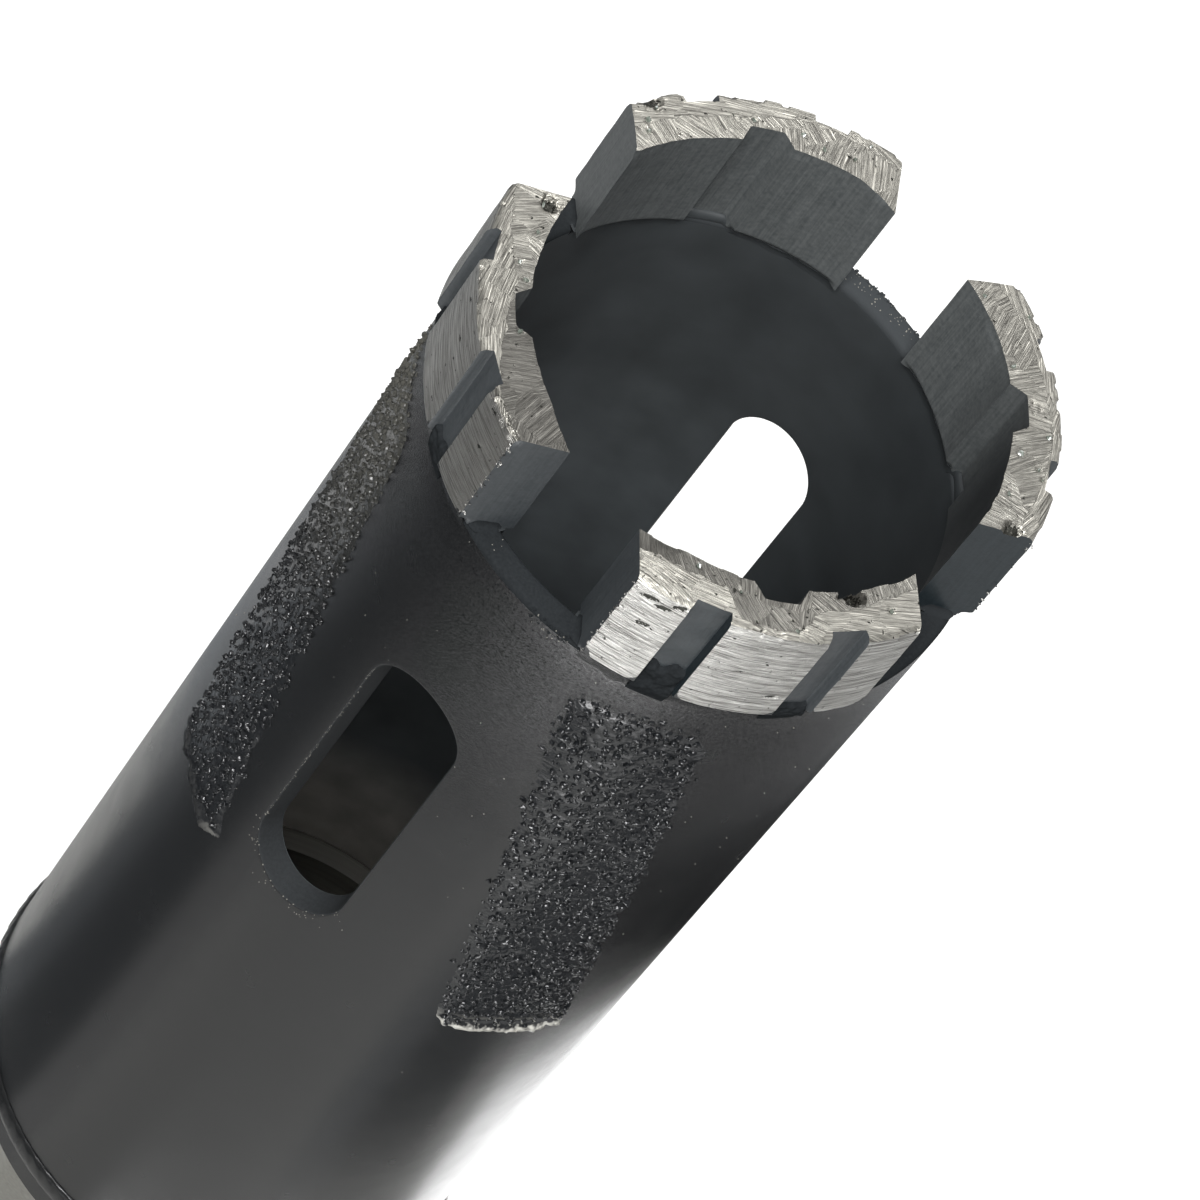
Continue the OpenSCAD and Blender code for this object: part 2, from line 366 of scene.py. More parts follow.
def powder_coat(tree, coords):
    """Satin black polyester powder coat, sprayed and baked: a fine pebbled skin with a soft sheen."""
    # pebbles of the baked powder, about 0.1 mm and drawn at 0.18 mm to show, strongest near the dry rim
    pebbles = add(tree, "TexNoise", coords, 1 / (0.18 * MM), 4, 0.7)
    height = add(tree, "SeparateXYZ", coords).outputs[2]
    dryness = add(tree, "MapRange", height, RIM_Z - 24 * MM, RIM_Z - 5 * MM, 0.15, 1.0)
    grain = add(tree, "Math", pebbles, dryness, operation="MULTIPLY")
    # slow waves where the coat is thicker and thinner, about 3 mm
    waves = add(tree, "TexNoise", coords, 1 / (3 * MM), 3)
    skin = add(tree, "Bump", {"Strength": 0.8, "Distance": 0.05 * MM, "Height": grain})
    relief = add(tree, "Bump", {"Strength": 0.2, "Distance": 0.04 * MM, "Height": waves, "Normal": skin})
    rough = add(tree, "MapRange", waves, 0.0, 1.0, 0.21, 0.3)
    shade = add(tree, "Mix", pebbles, linear("#141516"), settings().colours.coat, data_type="RGBA")
    # where it was sprayed dry it shines less, and unevenly
    specks = add(tree, "TexNoise", coords, 1 / (0.2 * MM), 2)
    glint = add(tree, "MapRange", specks, 0.3, 0.7, 0.16, 0.54)
    dry = add(tree, "MapRange", height, RIM_Z - 26 * MM, RIM_Z - 6 * MM)
    sheen = add(tree, "Mix", dry, 0.5, glint, data_type="FLOAT")
    return add(tree, "BsdfPrincipled", {
        "Base Color": shade, "Roughness": rough, "Specular IOR Level": sheen, "Normal": relief,
    })


def inside_coat(tree, coords):
    """The same coat inside the tube, thin and duller, with bare greyish steel showing low down, and
    painted light and shade up and across the bore.
    """
    place = add(tree, "SeparateXYZ", coords).outputs
    cloud = add(tree, "TexNoise", coords, 1 / (4 * MM), 4)
    fade = add(tree, "MapRange", place[2], HUB_HIGH.z + 5 * MM, HUB_HIGH.z + 14 * MM)
    thin = add(tree, "Mix", cloud, settings().colours.inside, linear("#555451"), data_type="RGBA")
    dense = add(tree, "Mix", cloud, linear("#34383a"), linear("#25282a"), data_type="RGBA")
    sparse = add(tree, "Mix", cloud, linear("#565b5e"), linear("#323536"), data_type="RGBA")
    # painted light: the coat is drawn lighter at mid height and darker toward the rim
    painted_light_by_height = add(tree, "MapRange", place[2], RIM_Z - 36 * MM, RIM_Z - 16 * MM, 2.0, 0.68)
    reached = add(tree, "MapRange", place[2], RIM_Z - 52 * MM, RIM_Z - 40 * MM)
    amount = add(tree, "Mix", reached, 1.0, painted_light_by_height, data_type="FLOAT")
    uneven = add(tree, "VectorMath", sparse, amount, operation="SCALE")
    # painted shade: the bore is drawn darker toward +X and lighter toward -X, and the bare steel low down
    # darker still on the +X side
    side = add(tree, "MapRange", place[0], 12 * MM, -14 * MM)
    full = add(tree, "Mix", side, dense, uneven, data_type="RGBA")
    shaded = add(tree, "MapRange", side, 0.45, 0.65, 0.25, 1.0)
    bare = add(tree, "VectorMath", thin, shaded, operation="SCALE")
    mottled = add(tree, "Mix", fade, bare, full, data_type="RGBA")
    skin = add(tree, "Bump", {"Strength": 0.2, "Distance": 0.05 * MM, "Height": cloud})
    return add(tree, "BsdfPrincipled", {"Base Color": mottled, "Roughness": 0.55, "Normal": skin})


def thin_coat(tree, coords, light, dark, rough, sheen, painted_shade=False):
    """Overspray baked on the mould's skin of a segment, with the mould's fine upright lines under it."""
    lines = add(tree, "TexNoise", stretched(tree, coords, 0.14 * MM, 0.14 * MM, 6 * MM), 1, 3)
    cloud = add(tree, "TexNoise", coords, 1 / (0.3 * MM), 5)
    both = add(tree, "Math", lines, cloud, operation="ADD")
    patchy = add(tree, "MapRange", both, 0.6, 1.4)
    shade = add(tree, "Mix", patchy, linear(dark), light, data_type="RGBA")
    if painted_shade:
        # painted shade: the coat is drawn darker toward +X and -Y, where shade falls on the segments'
        # inner faces
        place = add(tree, "SeparateXYZ", coords).outputs
        across = add(tree, "Math", place[0], place[1], operation="SUBTRACT")
        thick = add(tree, "MapRange", across, -6 * MM, 6 * MM, 0.0, 0.85)
        shade = add(tree, "Mix", thick, shade, linear("#17191b"), data_type="RGBA")
    skin = add(tree, "Bump", {"Strength": 0.22, "Distance": 0.04 * MM, "Height": both})
    return add(tree, "BsdfPrincipled", {
        "Base Color": shade, "Roughness": rough, "Specular IOR Level": sheen, "Normal": skin,
    })


def segment_coat(tree, coords):
    """The coat on a segment's inside, where it is thinnest: matt grey, with painted shade that darkens it
    toward +X and -Y.
    """
    return thin_coat(tree, coords, settings().colours.segment_coat, "#4a4e4f", 0.5, 0.5, True)


def end_coat(tree, coords):
    """The coat on a segment's ends and in its outer grooves: drawn darker than the inside coat, as
    painted shade.
    """
    return thin_coat(tree, coords, linear("#4b4f52"), "#363b3e", 0.45, 0.4)


def pooled_coat(tree, coords):
    """Coat that ran together on an end and baked thick: blue and shinier, and drawn dark, partly as
    painted shade.
    """
    return thin_coat(tree, coords, linear("#2c3438"), "#1e2529", 0.34, 0.28)


def dull_coat(tree, coords):
    """Coat on a cut edge, where it has hardly any sheen: black on the near rim, dusty on the far one."""
    place = add(tree, "SeparateXYZ", coords).outputs
    far = add(tree, "MapRange", place[1], 0.0, 15 * MM, 0.0, 0.9)
    sheen = add(tree, "MapRange", place[2], RIM_Z - 3 * MM, RIM_Z - 1 * MM, 0.25, 0.0)
    grain = add(tree, "TexNoise", coords, 1 / (0.2 * MM), 3)
    shade = add(tree, "Mix", grain, linear("#202224"), linear("#313436"), data_type="RGBA")
    dusty = add(tree, "Mix", far, shade, linear("#414446"), data_type="RGBA")
    relief = add(tree, "Bump", {"Strength": 0.5, "Distance": 0.05 * MM, "Height": grain})
    return add(tree, "BsdfPrincipled", {
        "Base Color": dusty, "Roughness": 0.8, "Specular IOR Level": sheen, "Normal": relief,
    })


def ragged(tree, coords, attribute, spacing, reach):
    """A mask that is 1 where an attribute is over 0, with its edge made ragged by noise."""
    distance = add(tree, "Attribute", attribute_name=attribute).outputs["Fac"]
    edge = add(tree, "TexNoise", coords, 1 / spacing, 4)
    swing = add(tree, "MapRange", edge, 0.2, 0.8, -reach, reach)
    total = add(tree, "Math", distance, swing, operation="ADD")
    return add(tree, "MapRange", total, -0.015 * MM, 0.015 * MM).outputs[0]


def scratched(tree, vector, along, across, chance):
    """Height of a ground face: fine lines and shorter scores, which run along the vector's X."""
    total = None
    for run, reach, share in ((1.0, 1.0, 0.62), (0.35, 2.4, 0.38)):
        place = add(tree, "Mapping", {
            "Vector": vector, "Scale": (1 / (along * run), 1 / (across * reach), 1 / along),
        })
        lines = add(tree, "TexNoise", place, chance, 1, 3, 0.6, noise_dimensions="4D")
        part = add(tree, "Math", lines, share, operation="MULTIPLY")
        if total is None:
            total = part
        else:
            total = add(tree, "Math", total, part, operation="ADD")
    return add(tree, "MapRange", total, 0.38, 0.6).outputs[0]


def sintered_metal(tree, coords, height, light):
    """Ground cobalt and iron bond over a height that is 1 on its ridges: silvery, porous and torn."""
    tone = add(tree, "Mix", height, settings().colours.metal_dark, light, data_type="RGBA")
    # pores of the sintered powder, 0.15 to 0.3 mm, and the pits made in the mesh, drawn dark as painted
    # shade in the holes
    pores = add(tree, "TexNoise", coords, 1 / (0.42 * MM), 2)
    open_pores = add(tree, "MapRange", pores, 0.68, 0.74)
    pit_shade = add(tree, "Attribute", attribute_name="pit_shade").outputs["Fac"]
    crumble = add(tree, "TexNoise", coords, 1 / (0.16 * MM), 3)
    torn = add(tree, "Math", crumble, 1.6, pit_shade, operation="MULTIPLY_ADD")
    torn_out = add(tree, "MapRange", torn, 1.26, 1.4)
    holes = add(tree, "Math", open_pores, torn_out, operation="MAXIMUM")
    pits_shaded = add(tree, "Mix", holes, tone, linear("#3a3a36"), data_type="RGBA")
    lowered = add(tree, "Math", height, open_pores, operation="SUBTRACT")
    relief = add(tree, "Bump", {"Strength": 0.75, "Distance": 0.045 * MM, "Height": lowered})
    rough = add(tree, "MapRange", height, 0.0, 1.0, 0.5, 0.32)
    return add(tree, "BsdfPrincipled", {
        "Base Color": pits_shaded, "Metallic": 0.9, "Roughness": rough, "Normal": relief,
    })


def ground_flank(tree, coords):
    """A segment's outside, ground round on a wheel, with coat left above the weld."""
    about = stretched(tree, coords, 1, 1, 1)
    upright = add(
        tree, "VectorRotate", {"Vector": about, "Angle": math.radians(90)}, rotation_type="X_AXIS",
    )
    height = scratched(tree, upright.outputs[0], 5 * MM, 0.06 * MM, 0.0)
    # painted shade: this attribute darkens the ground metal, most toward segment 3's end
    soil_and_shade = add(tree, "Attribute", attribute_name="soil_and_shade").outputs["Fac"]
    tone = add(tree, "Mix", soil_and_shade, settings().colours.metal, linear("#76746e"), data_type="RGBA")
    ground = sintered_metal(tree, coords, height, tone.outputs[2])
    coat = add(tree, "BsdfPrincipled", {"Base Color": linear("#1c1e1f"), "Roughness": 0.5})
    bare = ragged(tree, coords, "bare", 0.9 * MM, 0.3 * MM)
    return add(tree, "MixShader", bare, coat, ground)


def ground_crown(tree, coords):
    """A segment's crown, dressed on a coarse wheel in strokes: across it inside, along it outside."""
    patches = add(
        tree, "TexVoronoi", {"Vector": coords, "Scale": 1 / (2.3 * MM)}, voronoi_dimensions="2D",
    )
    middle = add(tree, "SeparateXYZ", patches.outputs["Position"]).outputs
    heading = add(tree, "Math", middle[1], middle[0], operation="ARCTAN2")
    chance = add(tree, "SeparateColor", patches.outputs["Color"]).outputs[0]
    outside = ragged(tree, coords, "strip", 0.8 * MM, 0.25 * MM)
    spread = add(tree, "MapRange", outside, 0.0, 1.0, 1.3, 0.45)
    swing = add(tree, "Math", chance, spread, -0.4, operation="MULTIPLY_ADD")
    base = add(tree, "Math", outside, math.pi / 2, heading, operation="MULTIPLY_ADD")
    angle = add(tree, "Math", base, swing, operation="ADD")
    stroke = add(
        tree, "VectorRotate", {"Vector": coords, "Angle": angle}, rotation_type="Z_AXIS", invert=True,
    )
    shift = add(tree, "Math", chance, 40.0, operation="MULTIPLY")
    height = scratched(tree, stroke.outputs[0], 5 * MM, 0.048 * MM, shift.outputs[0])
    # painted shade: some crowns are drawn darker inside the outer strip, where its strokes reflect less
    # light
    crown_shade = add(tree, "Attribute", attribute_name="crown_shade").outputs["Fac"]
    kept = add(tree, "Math", 1.0, outside, operation="SUBTRACT")
    dull = add(tree, "Math", crown_shade, kept, operation="MULTIPLY")
    tone = add(tree, "Mix", dull, settings().colours.crown, linear("#8c8a84"), data_type="RGBA")
    return sintered_metal(tree, coords, height, tone.outputs[2])


def diamond(tree, coords):
    """Crushed synthetic diamond held in the bond: hard, greenish grey and glassy."""
    cloud = add(tree, "TexNoise", coords, 1 / (0.15 * MM), 1)
    shade = add(tree, "Mix", cloud, linear("#353c36"), linear("#7c857a"), data_type="RGBA")
    return add(tree, "BsdfPrincipled", {"Base Color": shade, "Roughness": 0.2, "IOR": 2.4})


def grit_coat(tree, coords):
    """Crushed abrasive in resin under the black coat: glossier than the tube, so each grain glints."""
    crystals = add(tree, "TexNoise", coords, 1 / (0.1 * MM), 3)
    shade = add(tree, "Mix", crystals, linear("#0f1011"), linear("#25272a"), data_type="RGBA")
    # painted light: the upper half of the patch that faces -X is drawn paler, where light falls on its
    # grains
    place = add(tree, "SeparateXYZ", coords).outputs
    side = add(tree, "MapRange", place[0], -7 * MM, -17 * MM)
    upper = add(tree, "MapRange", place[2], RIM_Z - 26 * MM, RIM_Z - 4 * MM)
    caught = add(tree, "Math", side, upper, operation="MULTIPLY")
    amount = add(tree, "Math", caught, crystals, operation="MULTIPLY")
    painted_light_upper = add(tree, "Mix", amount, shade, linear("#77756c"), data_type="RGBA")
    # painted highlight: the lip along the patch's lower edge and its underside are drawn pale, standing
    # in for the white reflected in them, faintly on the patches toward -X
    facing = add(tree, "NewGeometry").outputs["Normal"]
    downward = add(tree, "SeparateXYZ", facing).outputs[2]
    under = add(tree, "MapRange", downward, 0.05, -0.3)
    lowest = add(tree, "MapRange", place[2], RIM_Z - 43.6 * MM, RIM_Z - 44.6 * MM)
    painted_lip_glint = add(tree, "Math", under, lowest, operation="MULTIPLY")
    lumps = add(tree, "TexNoise", coords, 1 / (0.42 * MM), 1)
    swung = add(tree, "Math", lumps, 1.2 * MM, place[2], operation="MULTIPLY_ADD")
    edge = add(tree, "MapRange", swung, RIM_Z - 44.3 * MM, RIM_Z - 44.6 * MM)
    bare = add(tree, "Math", painted_lip_glint, edge, operation="MAXIMUM")
    glint_share = add(tree, "MapRange", place[0], -8 * MM, 0.0, 0.02, 1.0)
    pale = add(tree, "Math", bare, glint_share, operation="MULTIPLY")
    finished = add(tree, "Mix", pale, painted_light_upper, linear("#d2d0c8"), data_type="RGBA")
    total = add(tree, "Math", crystals, 0.05, lumps, operation="MULTIPLY_ADD")
    relief = add(tree, "Bump", {"Strength": 0.9, "Distance": 0.07 * MM, "Height": total})
    sheen = add(tree, "MapRange", place[2], RIM_Z - 20 * MM, RIM_Z - 6 * MM, 0.5, 0.34)
    return add(tree, "BsdfPrincipled", {
        "Base Color": finished, "Roughness": 0.22, "Specular IOR Level": sheen, "Normal": relief,
    })


def turned_steel(tree, coords):
    """Mild steel turned on a lathe: bright, with fine rings about the axis."""
    rings = add(tree, "TexNoise", stretched(tree, coords, 12 * MM, 0.15 * MM, 0.15 * MM), 1, 3)
    shade = add(tree, "Mix", rings, linear("#86857f"), settings().colours.steel, data_type="RGBA")
    relief = add(tree, "Bump", {"Strength": 0.3, "Distance": 0.03 * MM, "Height": rings})
    return add(tree, "BsdfPrincipled", {
        "Base Color": shade, "Metallic": 1.0, "Roughness": 0.32, "Normal": relief,
    })


def mineral_dust(tree, coords):
    """Dry stone dust: pale, matt grains."""
    cloud = add(tree, "TexNoise", coords, 1 / (0.4 * MM), 2)
    shade = add(tree, "Mix", cloud, linear("#6f6d68"), settings().colours.dust, data_type="RGBA")
    return add(tree, "BsdfPrincipled", {"Base Color": shade, "Roughness": 0.8})


def material(finish):
    """The material with this finish, made when it is first asked for."""
    name = finish.__name__
    return bpy.data.materials.get(name) or new_material(name, finish)


# Finishes in the order of the faces' numbers
TUBE_COATS = (powder_coat, inside_coat, dull_coat)
SEGMENT_FINISHES = (segment_coat, ground_flank, ground_crown, end_coat, pooled_coat)


def slot_centres():
    """The angle of the middle of each slot, above the gaps at +Y and -Y."""
    lean = settings().tube.slot_turn
    return [math.radians(90) + lean, math.radians(270) + lean]


class SlotForm:
    """A slot whose sides point at the axis, so that it is a wedge with cone ends."""

    def __init__(self, sizes):
        self.slope = math.tan(math.asin(sizes.slot_width / 2 / TUBE_R))
        end_r = TUBE_R * self.slope
        self.high = RIM_Z - sizes.slot_depth - end_r
        self.low = RIM_Z - sizes.slot_depth - sizes.slot_length + end_r

    def outline(self, turned, height, radius, grow):
        """The points of the slot's edge that face these points around it."""
        middle = np.clip(height, self.low, self.high)
        heading = np.arctan2(height - middle, TUBE_R * turned)
        slope = self.slope + grow / radius
        angle = np.arctan(slope * np.cos(heading))
        return angle, middle + radius * np.cos(angle) * slope * np.sin(heading)


def corner_arc(count):
    """Shares of a quarter turn, as pairs of sine and cosine."""
    return [(math.sin(a), math.cos(a)) for a in np.linspace(0, math.pi / 2, count)]


def make_tube():
    """The tube, as a fine skin with its slots, its rounded edges and the chamfer at its foot."""
    sizes = settings().tube
    form = SlotForm(sizes)
    bore_r = TUBE_R - sizes.wall
    edge = sizes.slot_edge
    # the grid has a frame of finer rows round each slot, which reaches past it
    columns, half_frame = 288, 17
    rows_below, frame_rows, rows_above = 20, 40, 4
    reach = 7.5 * MM
    step = FULL_TURN / columns
    rim_start = RIM_Z - sizes.rim_edge
    foot = SHOULDER_Z + sizes.weld_groove
    heights = np.concatenate([
        np.linspace(foot, form.low - reach, rows_below, endpoint=False),
        np.linspace(form.low - reach, form.high + reach, frame_rows, endpoint=False),
        np.linspace(form.high + reach, rim_start, rows_above),
    ])
    upward = slice(rows_below, rows_below + frame_rows + 1)
    centres = slot_centres()
    angles = centres[0] - half_frame * step + step * np.arange(columns)
    skin = Skin()
    grids = []
    starts = (0, columns // 2)
    whole = np.ones((len(heights) - 1, columns), bool)
    for first in starts:
        whole[rows_below:rows_below + frame_rows, first:first + 2 * half_frame] = False
    for radius, low in ((TUBE_R, foot), (bore_r, SHOULDER_Z)):
        heights[0] = low
        grids.append(skin.add(polar(radius, angles[None, :], heights[:, None])))
    for slot, grid in enumerate(grids):
        beside = np.roll(grid, -1, axis=1)
        corners = (grid[:-1], beside[:-1], beside[1:], grid[1:])
        skin.quads(*(corner[whole] for corner in corners), slot)

    arc = corner_arc(6)
    cuts = [(TUBE_R - edge * (1 - cosine), edge * (1 - sine)) for sine, cosine in arc]
    cuts += [(TUBE_R - edge + share * (2 * edge - sizes.wall), 0) for share in (0.33, 0.66)]
    cuts += [(bore_r + edge * (1 - sine), edge * (1 - cosine)) for sine, cosine in arc]
    shares = [1 - (1 - way) ** 1.6 for way in np.linspace(0, 1, 7)[1:-1]]
    for first, centre in zip(starts, centres):
        across = slice(first, first + 2 * half_frame + 1)
        turned, height = (edge_of(side) for side in np.meshgrid(angles[across], heights[upward]))
        turned = (turned - centre + math.pi) % FULL_TURN - math.pi
        collars = []
        for radius in (TUBE_R, bore_r):
            angle, level = form.outline(turned, height, radius, edge)
            collars.append([
                (radius, turned + (angle - turned) * share, height + (level - height) * share)
                for share in shares
            ])
        walls = [(radius, *form.outline(turned, height, radius, grow)) for radius, grow in cuts]
        last, ending = (edge_of(grid[upward, across]) for grid in grids)
        for radius, angle, level in collars[0] + walls + collars[1][::-1]:
            ring = skin.add(polar(radius, angle + centre, level))
            inner = radius < bore_r + edge / 2
            cut = radius < TUBE_R - edge / 20
            skin.band(last, ring, 1 if inner else 2 if cut else 0)
            last = ring
        skin.band(last, ending, 1)

    bend = sizes.rim_edge
    arc = corner_arc(5)
    rims = [(TUBE_R - bend * (1 - cosine), rim_start + bend * sine) for sine, cosine in arc[1:]]
    rims += [(bore_r + bend * (1 - sine), rim_start + bend * cosine) for sine, cosine in arc[:-1]]
    rows = [skin.add(polar(radius, angles, height)) for radius, height in rims]
    rows = [grids[0][-1], *rows, grids[1][-1]]
    for lower, upper in zip(rows, rows[1:]):
        skin.band(lower, upper, 2)
    chamfer = skin.add(polar(TUBE_R - sizes.weld_groove, angles, SHOULDER_Z))
    skin.band(grids[0][0], chamfer)
    skin.band(chamfer, grids[1][0])
    tube = skin.build("coated_tube", TUBE_COATS, 40)
    finish_piece(tube, "tube", "tube")
    return tube


class SegmentForm:
    """The plan of a segment, which lies along +X until it is turned to its place."""

    def __init__(self):
        self.sizes = sizes = settings().segment
        self.outer_r = TUBE_R + sizes.outset
        self.inner_r = TUBE_R - settings().tube.wall - sizes.inset
        half_gap = math.asin(sizes.gap / 2 / self.inner_r)
        self.inner_half = math.pi / len(SEGMENTS) - half_gap
        self.corner = Vector((
            self.inner_r * math.cos(self.inner_half), self.inner_r * math.sin(self.inner_half),
        ))
        slope = math.tan(sizes.lean)
        offset = self.corner.y - self.corner.x * slope
        r = self.outer_r
        x = (
            math.sqrt(r * r * (1 + slope * slope) - offset * offset) - slope * offset
        ) / (1 + slope * slope)
        self.outer_corner = Vector((x, offset + slope * x))
        self.outer_half = math.atan2(self.outer_corner.y, x)
        self.groove_angle = math.asin(sizes.outer_spacing / 2 / r)

    def columns(self):
        """Angles of the columns outside and inside, and which columns are in an outer groove."""
        sizes = self.sizes
        edge = sizes.outer_width / 2 + sizes.groove_wall / 3
        floor = sizes.outer_width / 2 - 2 * sizes.groove_wall / 3
        near = [self.groove_angle - math.asin(w / self.outer_r) for w in (edge, floor)]
        far = [self.groove_angle + math.asin(w / self.outer_r) for w in (floor, edge)]
        mouth = math.asin(sizes.inner_mouth / 2 / self.inner_r)
        base = math.asin(sizes.inner_floor / 2 / (self.inner_r + sizes.inner_depth))
        share = self.inner_half / self.outer_half
        # outside angle, inside angle and the number of columns from there to the next station
        stations = [
            (0, 0, 6), (base * 0.8, base, 8), (mouth * 0.8, mouth, 10), (near[0], near[0] * share, 5),
            (near[1], near[1] * share, 14), (far[0], far[0] * share, 5), (far[1], far[1] * share, 26),
            (self.outer_half, self.inner_half, 0),
        ]
        bends = np.array([station[:2] for station in stations])
        rows, grooved = [bends[:1]], []
        for number, (here, there) in enumerate(zip(bends[:-1], bends[1:])):
            steps = stations[number][2]
            rows.append(here + (there - here) * np.arange(1, steps + 1)[:, None] / steps)
            grooved += [number in (3, 4, 5)] * steps
        half = np.concatenate(rows)
        outer, inner = np.concatenate([-half[:0:-1], half]).T
        return outer, inner, np.array(grooved[::-1] + grooved)

    def outer_depth(self, angle):
        """Depth of the outer grooves at an angle."""
        sizes = self.sizes
        across = self.outer_r * np.abs(np.sin(np.abs(angle) - self.groove_angle))
        run = sizes.outer_width / 2 + sizes.groove_wall / 3 - across
        return sizes.outer_depth * ease(run / sizes.groove_wall)

    def inner_depth(self, angle):
        """Depth of the inner groove at an angle."""
        sizes = self.sizes
        across = np.abs(self.inner_r * np.sin(angle))
        run = (sizes.inner_mouth / 2 - across) / (sizes.inner_mouth - sizes.inner_floor) * 2
        return sizes.inner_depth * np.clip(run, 0, 1)


# Where a crown's outer strip starts: degrees from the segment's middle, and radius in mm
STRIP_BORDERS = {
    1: [(-30, 17.7), (-8, 18.2), (8, 18.0), (30, 17.4)],
    2: [(-30, 18.0), (-8, 17.9), (8, 17.1), (30, 17.3)],
    3: [(-28, 18.7), (-15, 17.4), (-6, 16.6), (6, 17.4), (14, 18.2), (22, 18.8)],
    4: [(-30, 16.8), (-12, 16.7), (-8, 18.6), (3, 18.6), (8, 17.0), (30, 16.4)],
}
# Which end of each segment has its inner corner ground down
GROUND_ENDS = {1: 0, 2: -1, 3: 1, 4: -1}
# Diamonds that show in a crown: degrees from the segment's middle, and radius in mm
STONES = {
    1: [
        (29, 16.1), (11, 16.1), (-5, 18.0), (-11, 16.3),
        (-13, 17.6), (-15, 18.0), (-22, 16.3), (22, 18.4),
    ],
    2: [(24, 18.1), (27, 17.4), (28, 16.7), (3, 17.2), (-8, 17.0), (-13, 16.5), (-20, 16.8), (-22, 18.4)],
    3: [(-21, 16.2), (-12, 16.7), (-8, 16.1), (5, 16.4), (-28, 16.7)],
    4: [(-19, 16.1), (3, 18.4), (-9, 16.6), (24, 17.3)],
}
# Pieces broken out of a crown: degrees from the middle, radius, size and depth in mm
CHIPS = {
    1: [(-30, 17.6, 0.9, 0.35), (29, 18.8, 0.5, 0.3)],
    2: [(24, 18.9, 1.0, 0.45), (7, 19.0, 0.5, 0.25)],
    3: [(-29, 16.4, 0.8, 0.45)],
    4: [(17, 16.0, 0.75, 1.0), (14.5, 15.8, 0.5, 0.8)],
}
# Metal torn out of a segment's outside: degrees from the middle, height over the rim and size in mm
TEARS = {
    1: [(-18, 7.5, 0.6), (20, 5.0, 0.5)],
    2: [(16, 8.0, 0.7), (-21, 6.2, 0.5)],
    3: [(21, 9.3, 0.5), (23, 6.2, 0.45), (-3, 8.8, 0.4), (2, 7.0, 0.4)],
    4: [
        (-22.7, 6.4, 0.8), (-24.6, 9.0, 0.9), (-21.6, 8.7, 0.9), (-19.2, 9.4, 0.7),
        (-19.6, 10.3, 0.5), (6.4, 3.1, 0.6), (-2.5, 5.4, 0.4),
    ],
}
# Segment, end and number of the burrs on its upright corner
BURRS = ((3, 1, 60), (4, -1, 55), (1, -1, 22))
# How far each crown's inner part is drawn darker as painted shade, at its start, in its middle and at its
# end
CROWN_SHADE = {1: (0.5, 0.3, 0.1), 2: (0.0, 0.0, 0.0), 3: (-0.3, 1.0, 1.0), 4: (1.0, 0.8, 0.5)}
# How far each outside is drawn darker, at its start, in its middle and at its end: painted shade on
# segment 3, growing toward its end, and an even darker tone on segment 2
SOIL_AND_SHADE = {1: (0.0, 0.0, 0.0), 2: (0.2, 0.2, 0.2), 3: (0.0, 0.25, 0.6), 4: (0.0, 0.0, 0.0)}
# Which coat a segment's sides have, by side, or by segment and side where one differs; the darker coats
# on the ends and in some grooves are painted shade, and the inside coat on segment 2's end is painted
# light
SIDE_COATS = {
    "inside": 0,
    "foot": 0,
    "crown": 2,
    "start": 3,
    "end": 3,
    (1, "start"): 4,
    (2, "end"): 0,
    (4, "start groove"): 4,
}
# Height in mm of the residue at the foot of each outer groove
RESIDUE = {1: (0.9, 1.5), 2: (1.3, 0.8), 3: (1.0, 1.2), 4: (2.8, 1.0)}


def middle_of(number):
    """The angle of the middle of a segment and of the patch below it."""
    return math.radians(90 * number - 45)


def box_lattice(across, through, upward):
    """Places of the points on a box's skin, and the grids of their numbers by side."""
    shape = (across + 1, through + 1, upward + 1)
    on_skin = np.ones(shape, bool)
    on_skin[1:-1, 1:-1, 1:-1] = False
    numbers = np.full(shape, -1)
    numbers[on_skin] = np.arange(on_skin.sum())
    sides = {
        "start": numbers[0],
        "end": numbers[-1],
        "inside": numbers[:, 0],
        "outside": numbers[:, -1],
        "foot": numbers[:, :, 0],
        "crown": numbers[:, :, -1],
    }
    return np.argwhere(on_skin), sides


def crown_height(form, number, plan, radius, border):
    """Heights of a crown, which falls outside its border, has a bevel and is ground down at one end."""
    sizes = form.sizes
    crown = np.full(len(plan), CROWN_Z)
    crown -= np.clip(radius - border, 0, None) * math.tan(sizes.fall)
    crown -= np.clip(radius - (form.outer_r - sizes.bevel), 0, None)
    end = GROUND_ENDS[number]
    if end:
        start_y = form.corner.y - sizes.corner_length
        outer = np.array(form.outer_corner)
        way = np.array([math.sqrt(form.inner_r**2 - start_y**2), start_y]) - outer
        normal = np.array([-way[1], way[0]]) / np.linalg.norm(way)
        depth = (plan[:, :2] * (1, end) - outer) @ normal
        corner_depth = (np.array(form.corner) - outer) @ normal
        crown -= sizes.corner_drop * np.clip(depth / corner_depth, 0, None)
    return crown


def run_into_wall(form, points, radius, angle):
    """Lets the foot run into the tube's wall on both sides, so that it doesn't overhang."""
    over = points[:, 2] - RIM_Z
    pulled = np.maximum(radius - TUBE_R - 0.12 * MM, 0) * ease(1 - over / (0.9 * MM))
    pushed = np.maximum(TUBE_R - settings().tube.wall - 0.1 * MM - radius, 0)
    pushed *= ease(1 - over / (0.6 * MM))
    pushed *= ease((form.inner_half - np.abs(angle)) * form.inner_r / (1.2 * MM))
    points[:, :2] *= (1 + (pushed - pulled) / radius)[:, None]


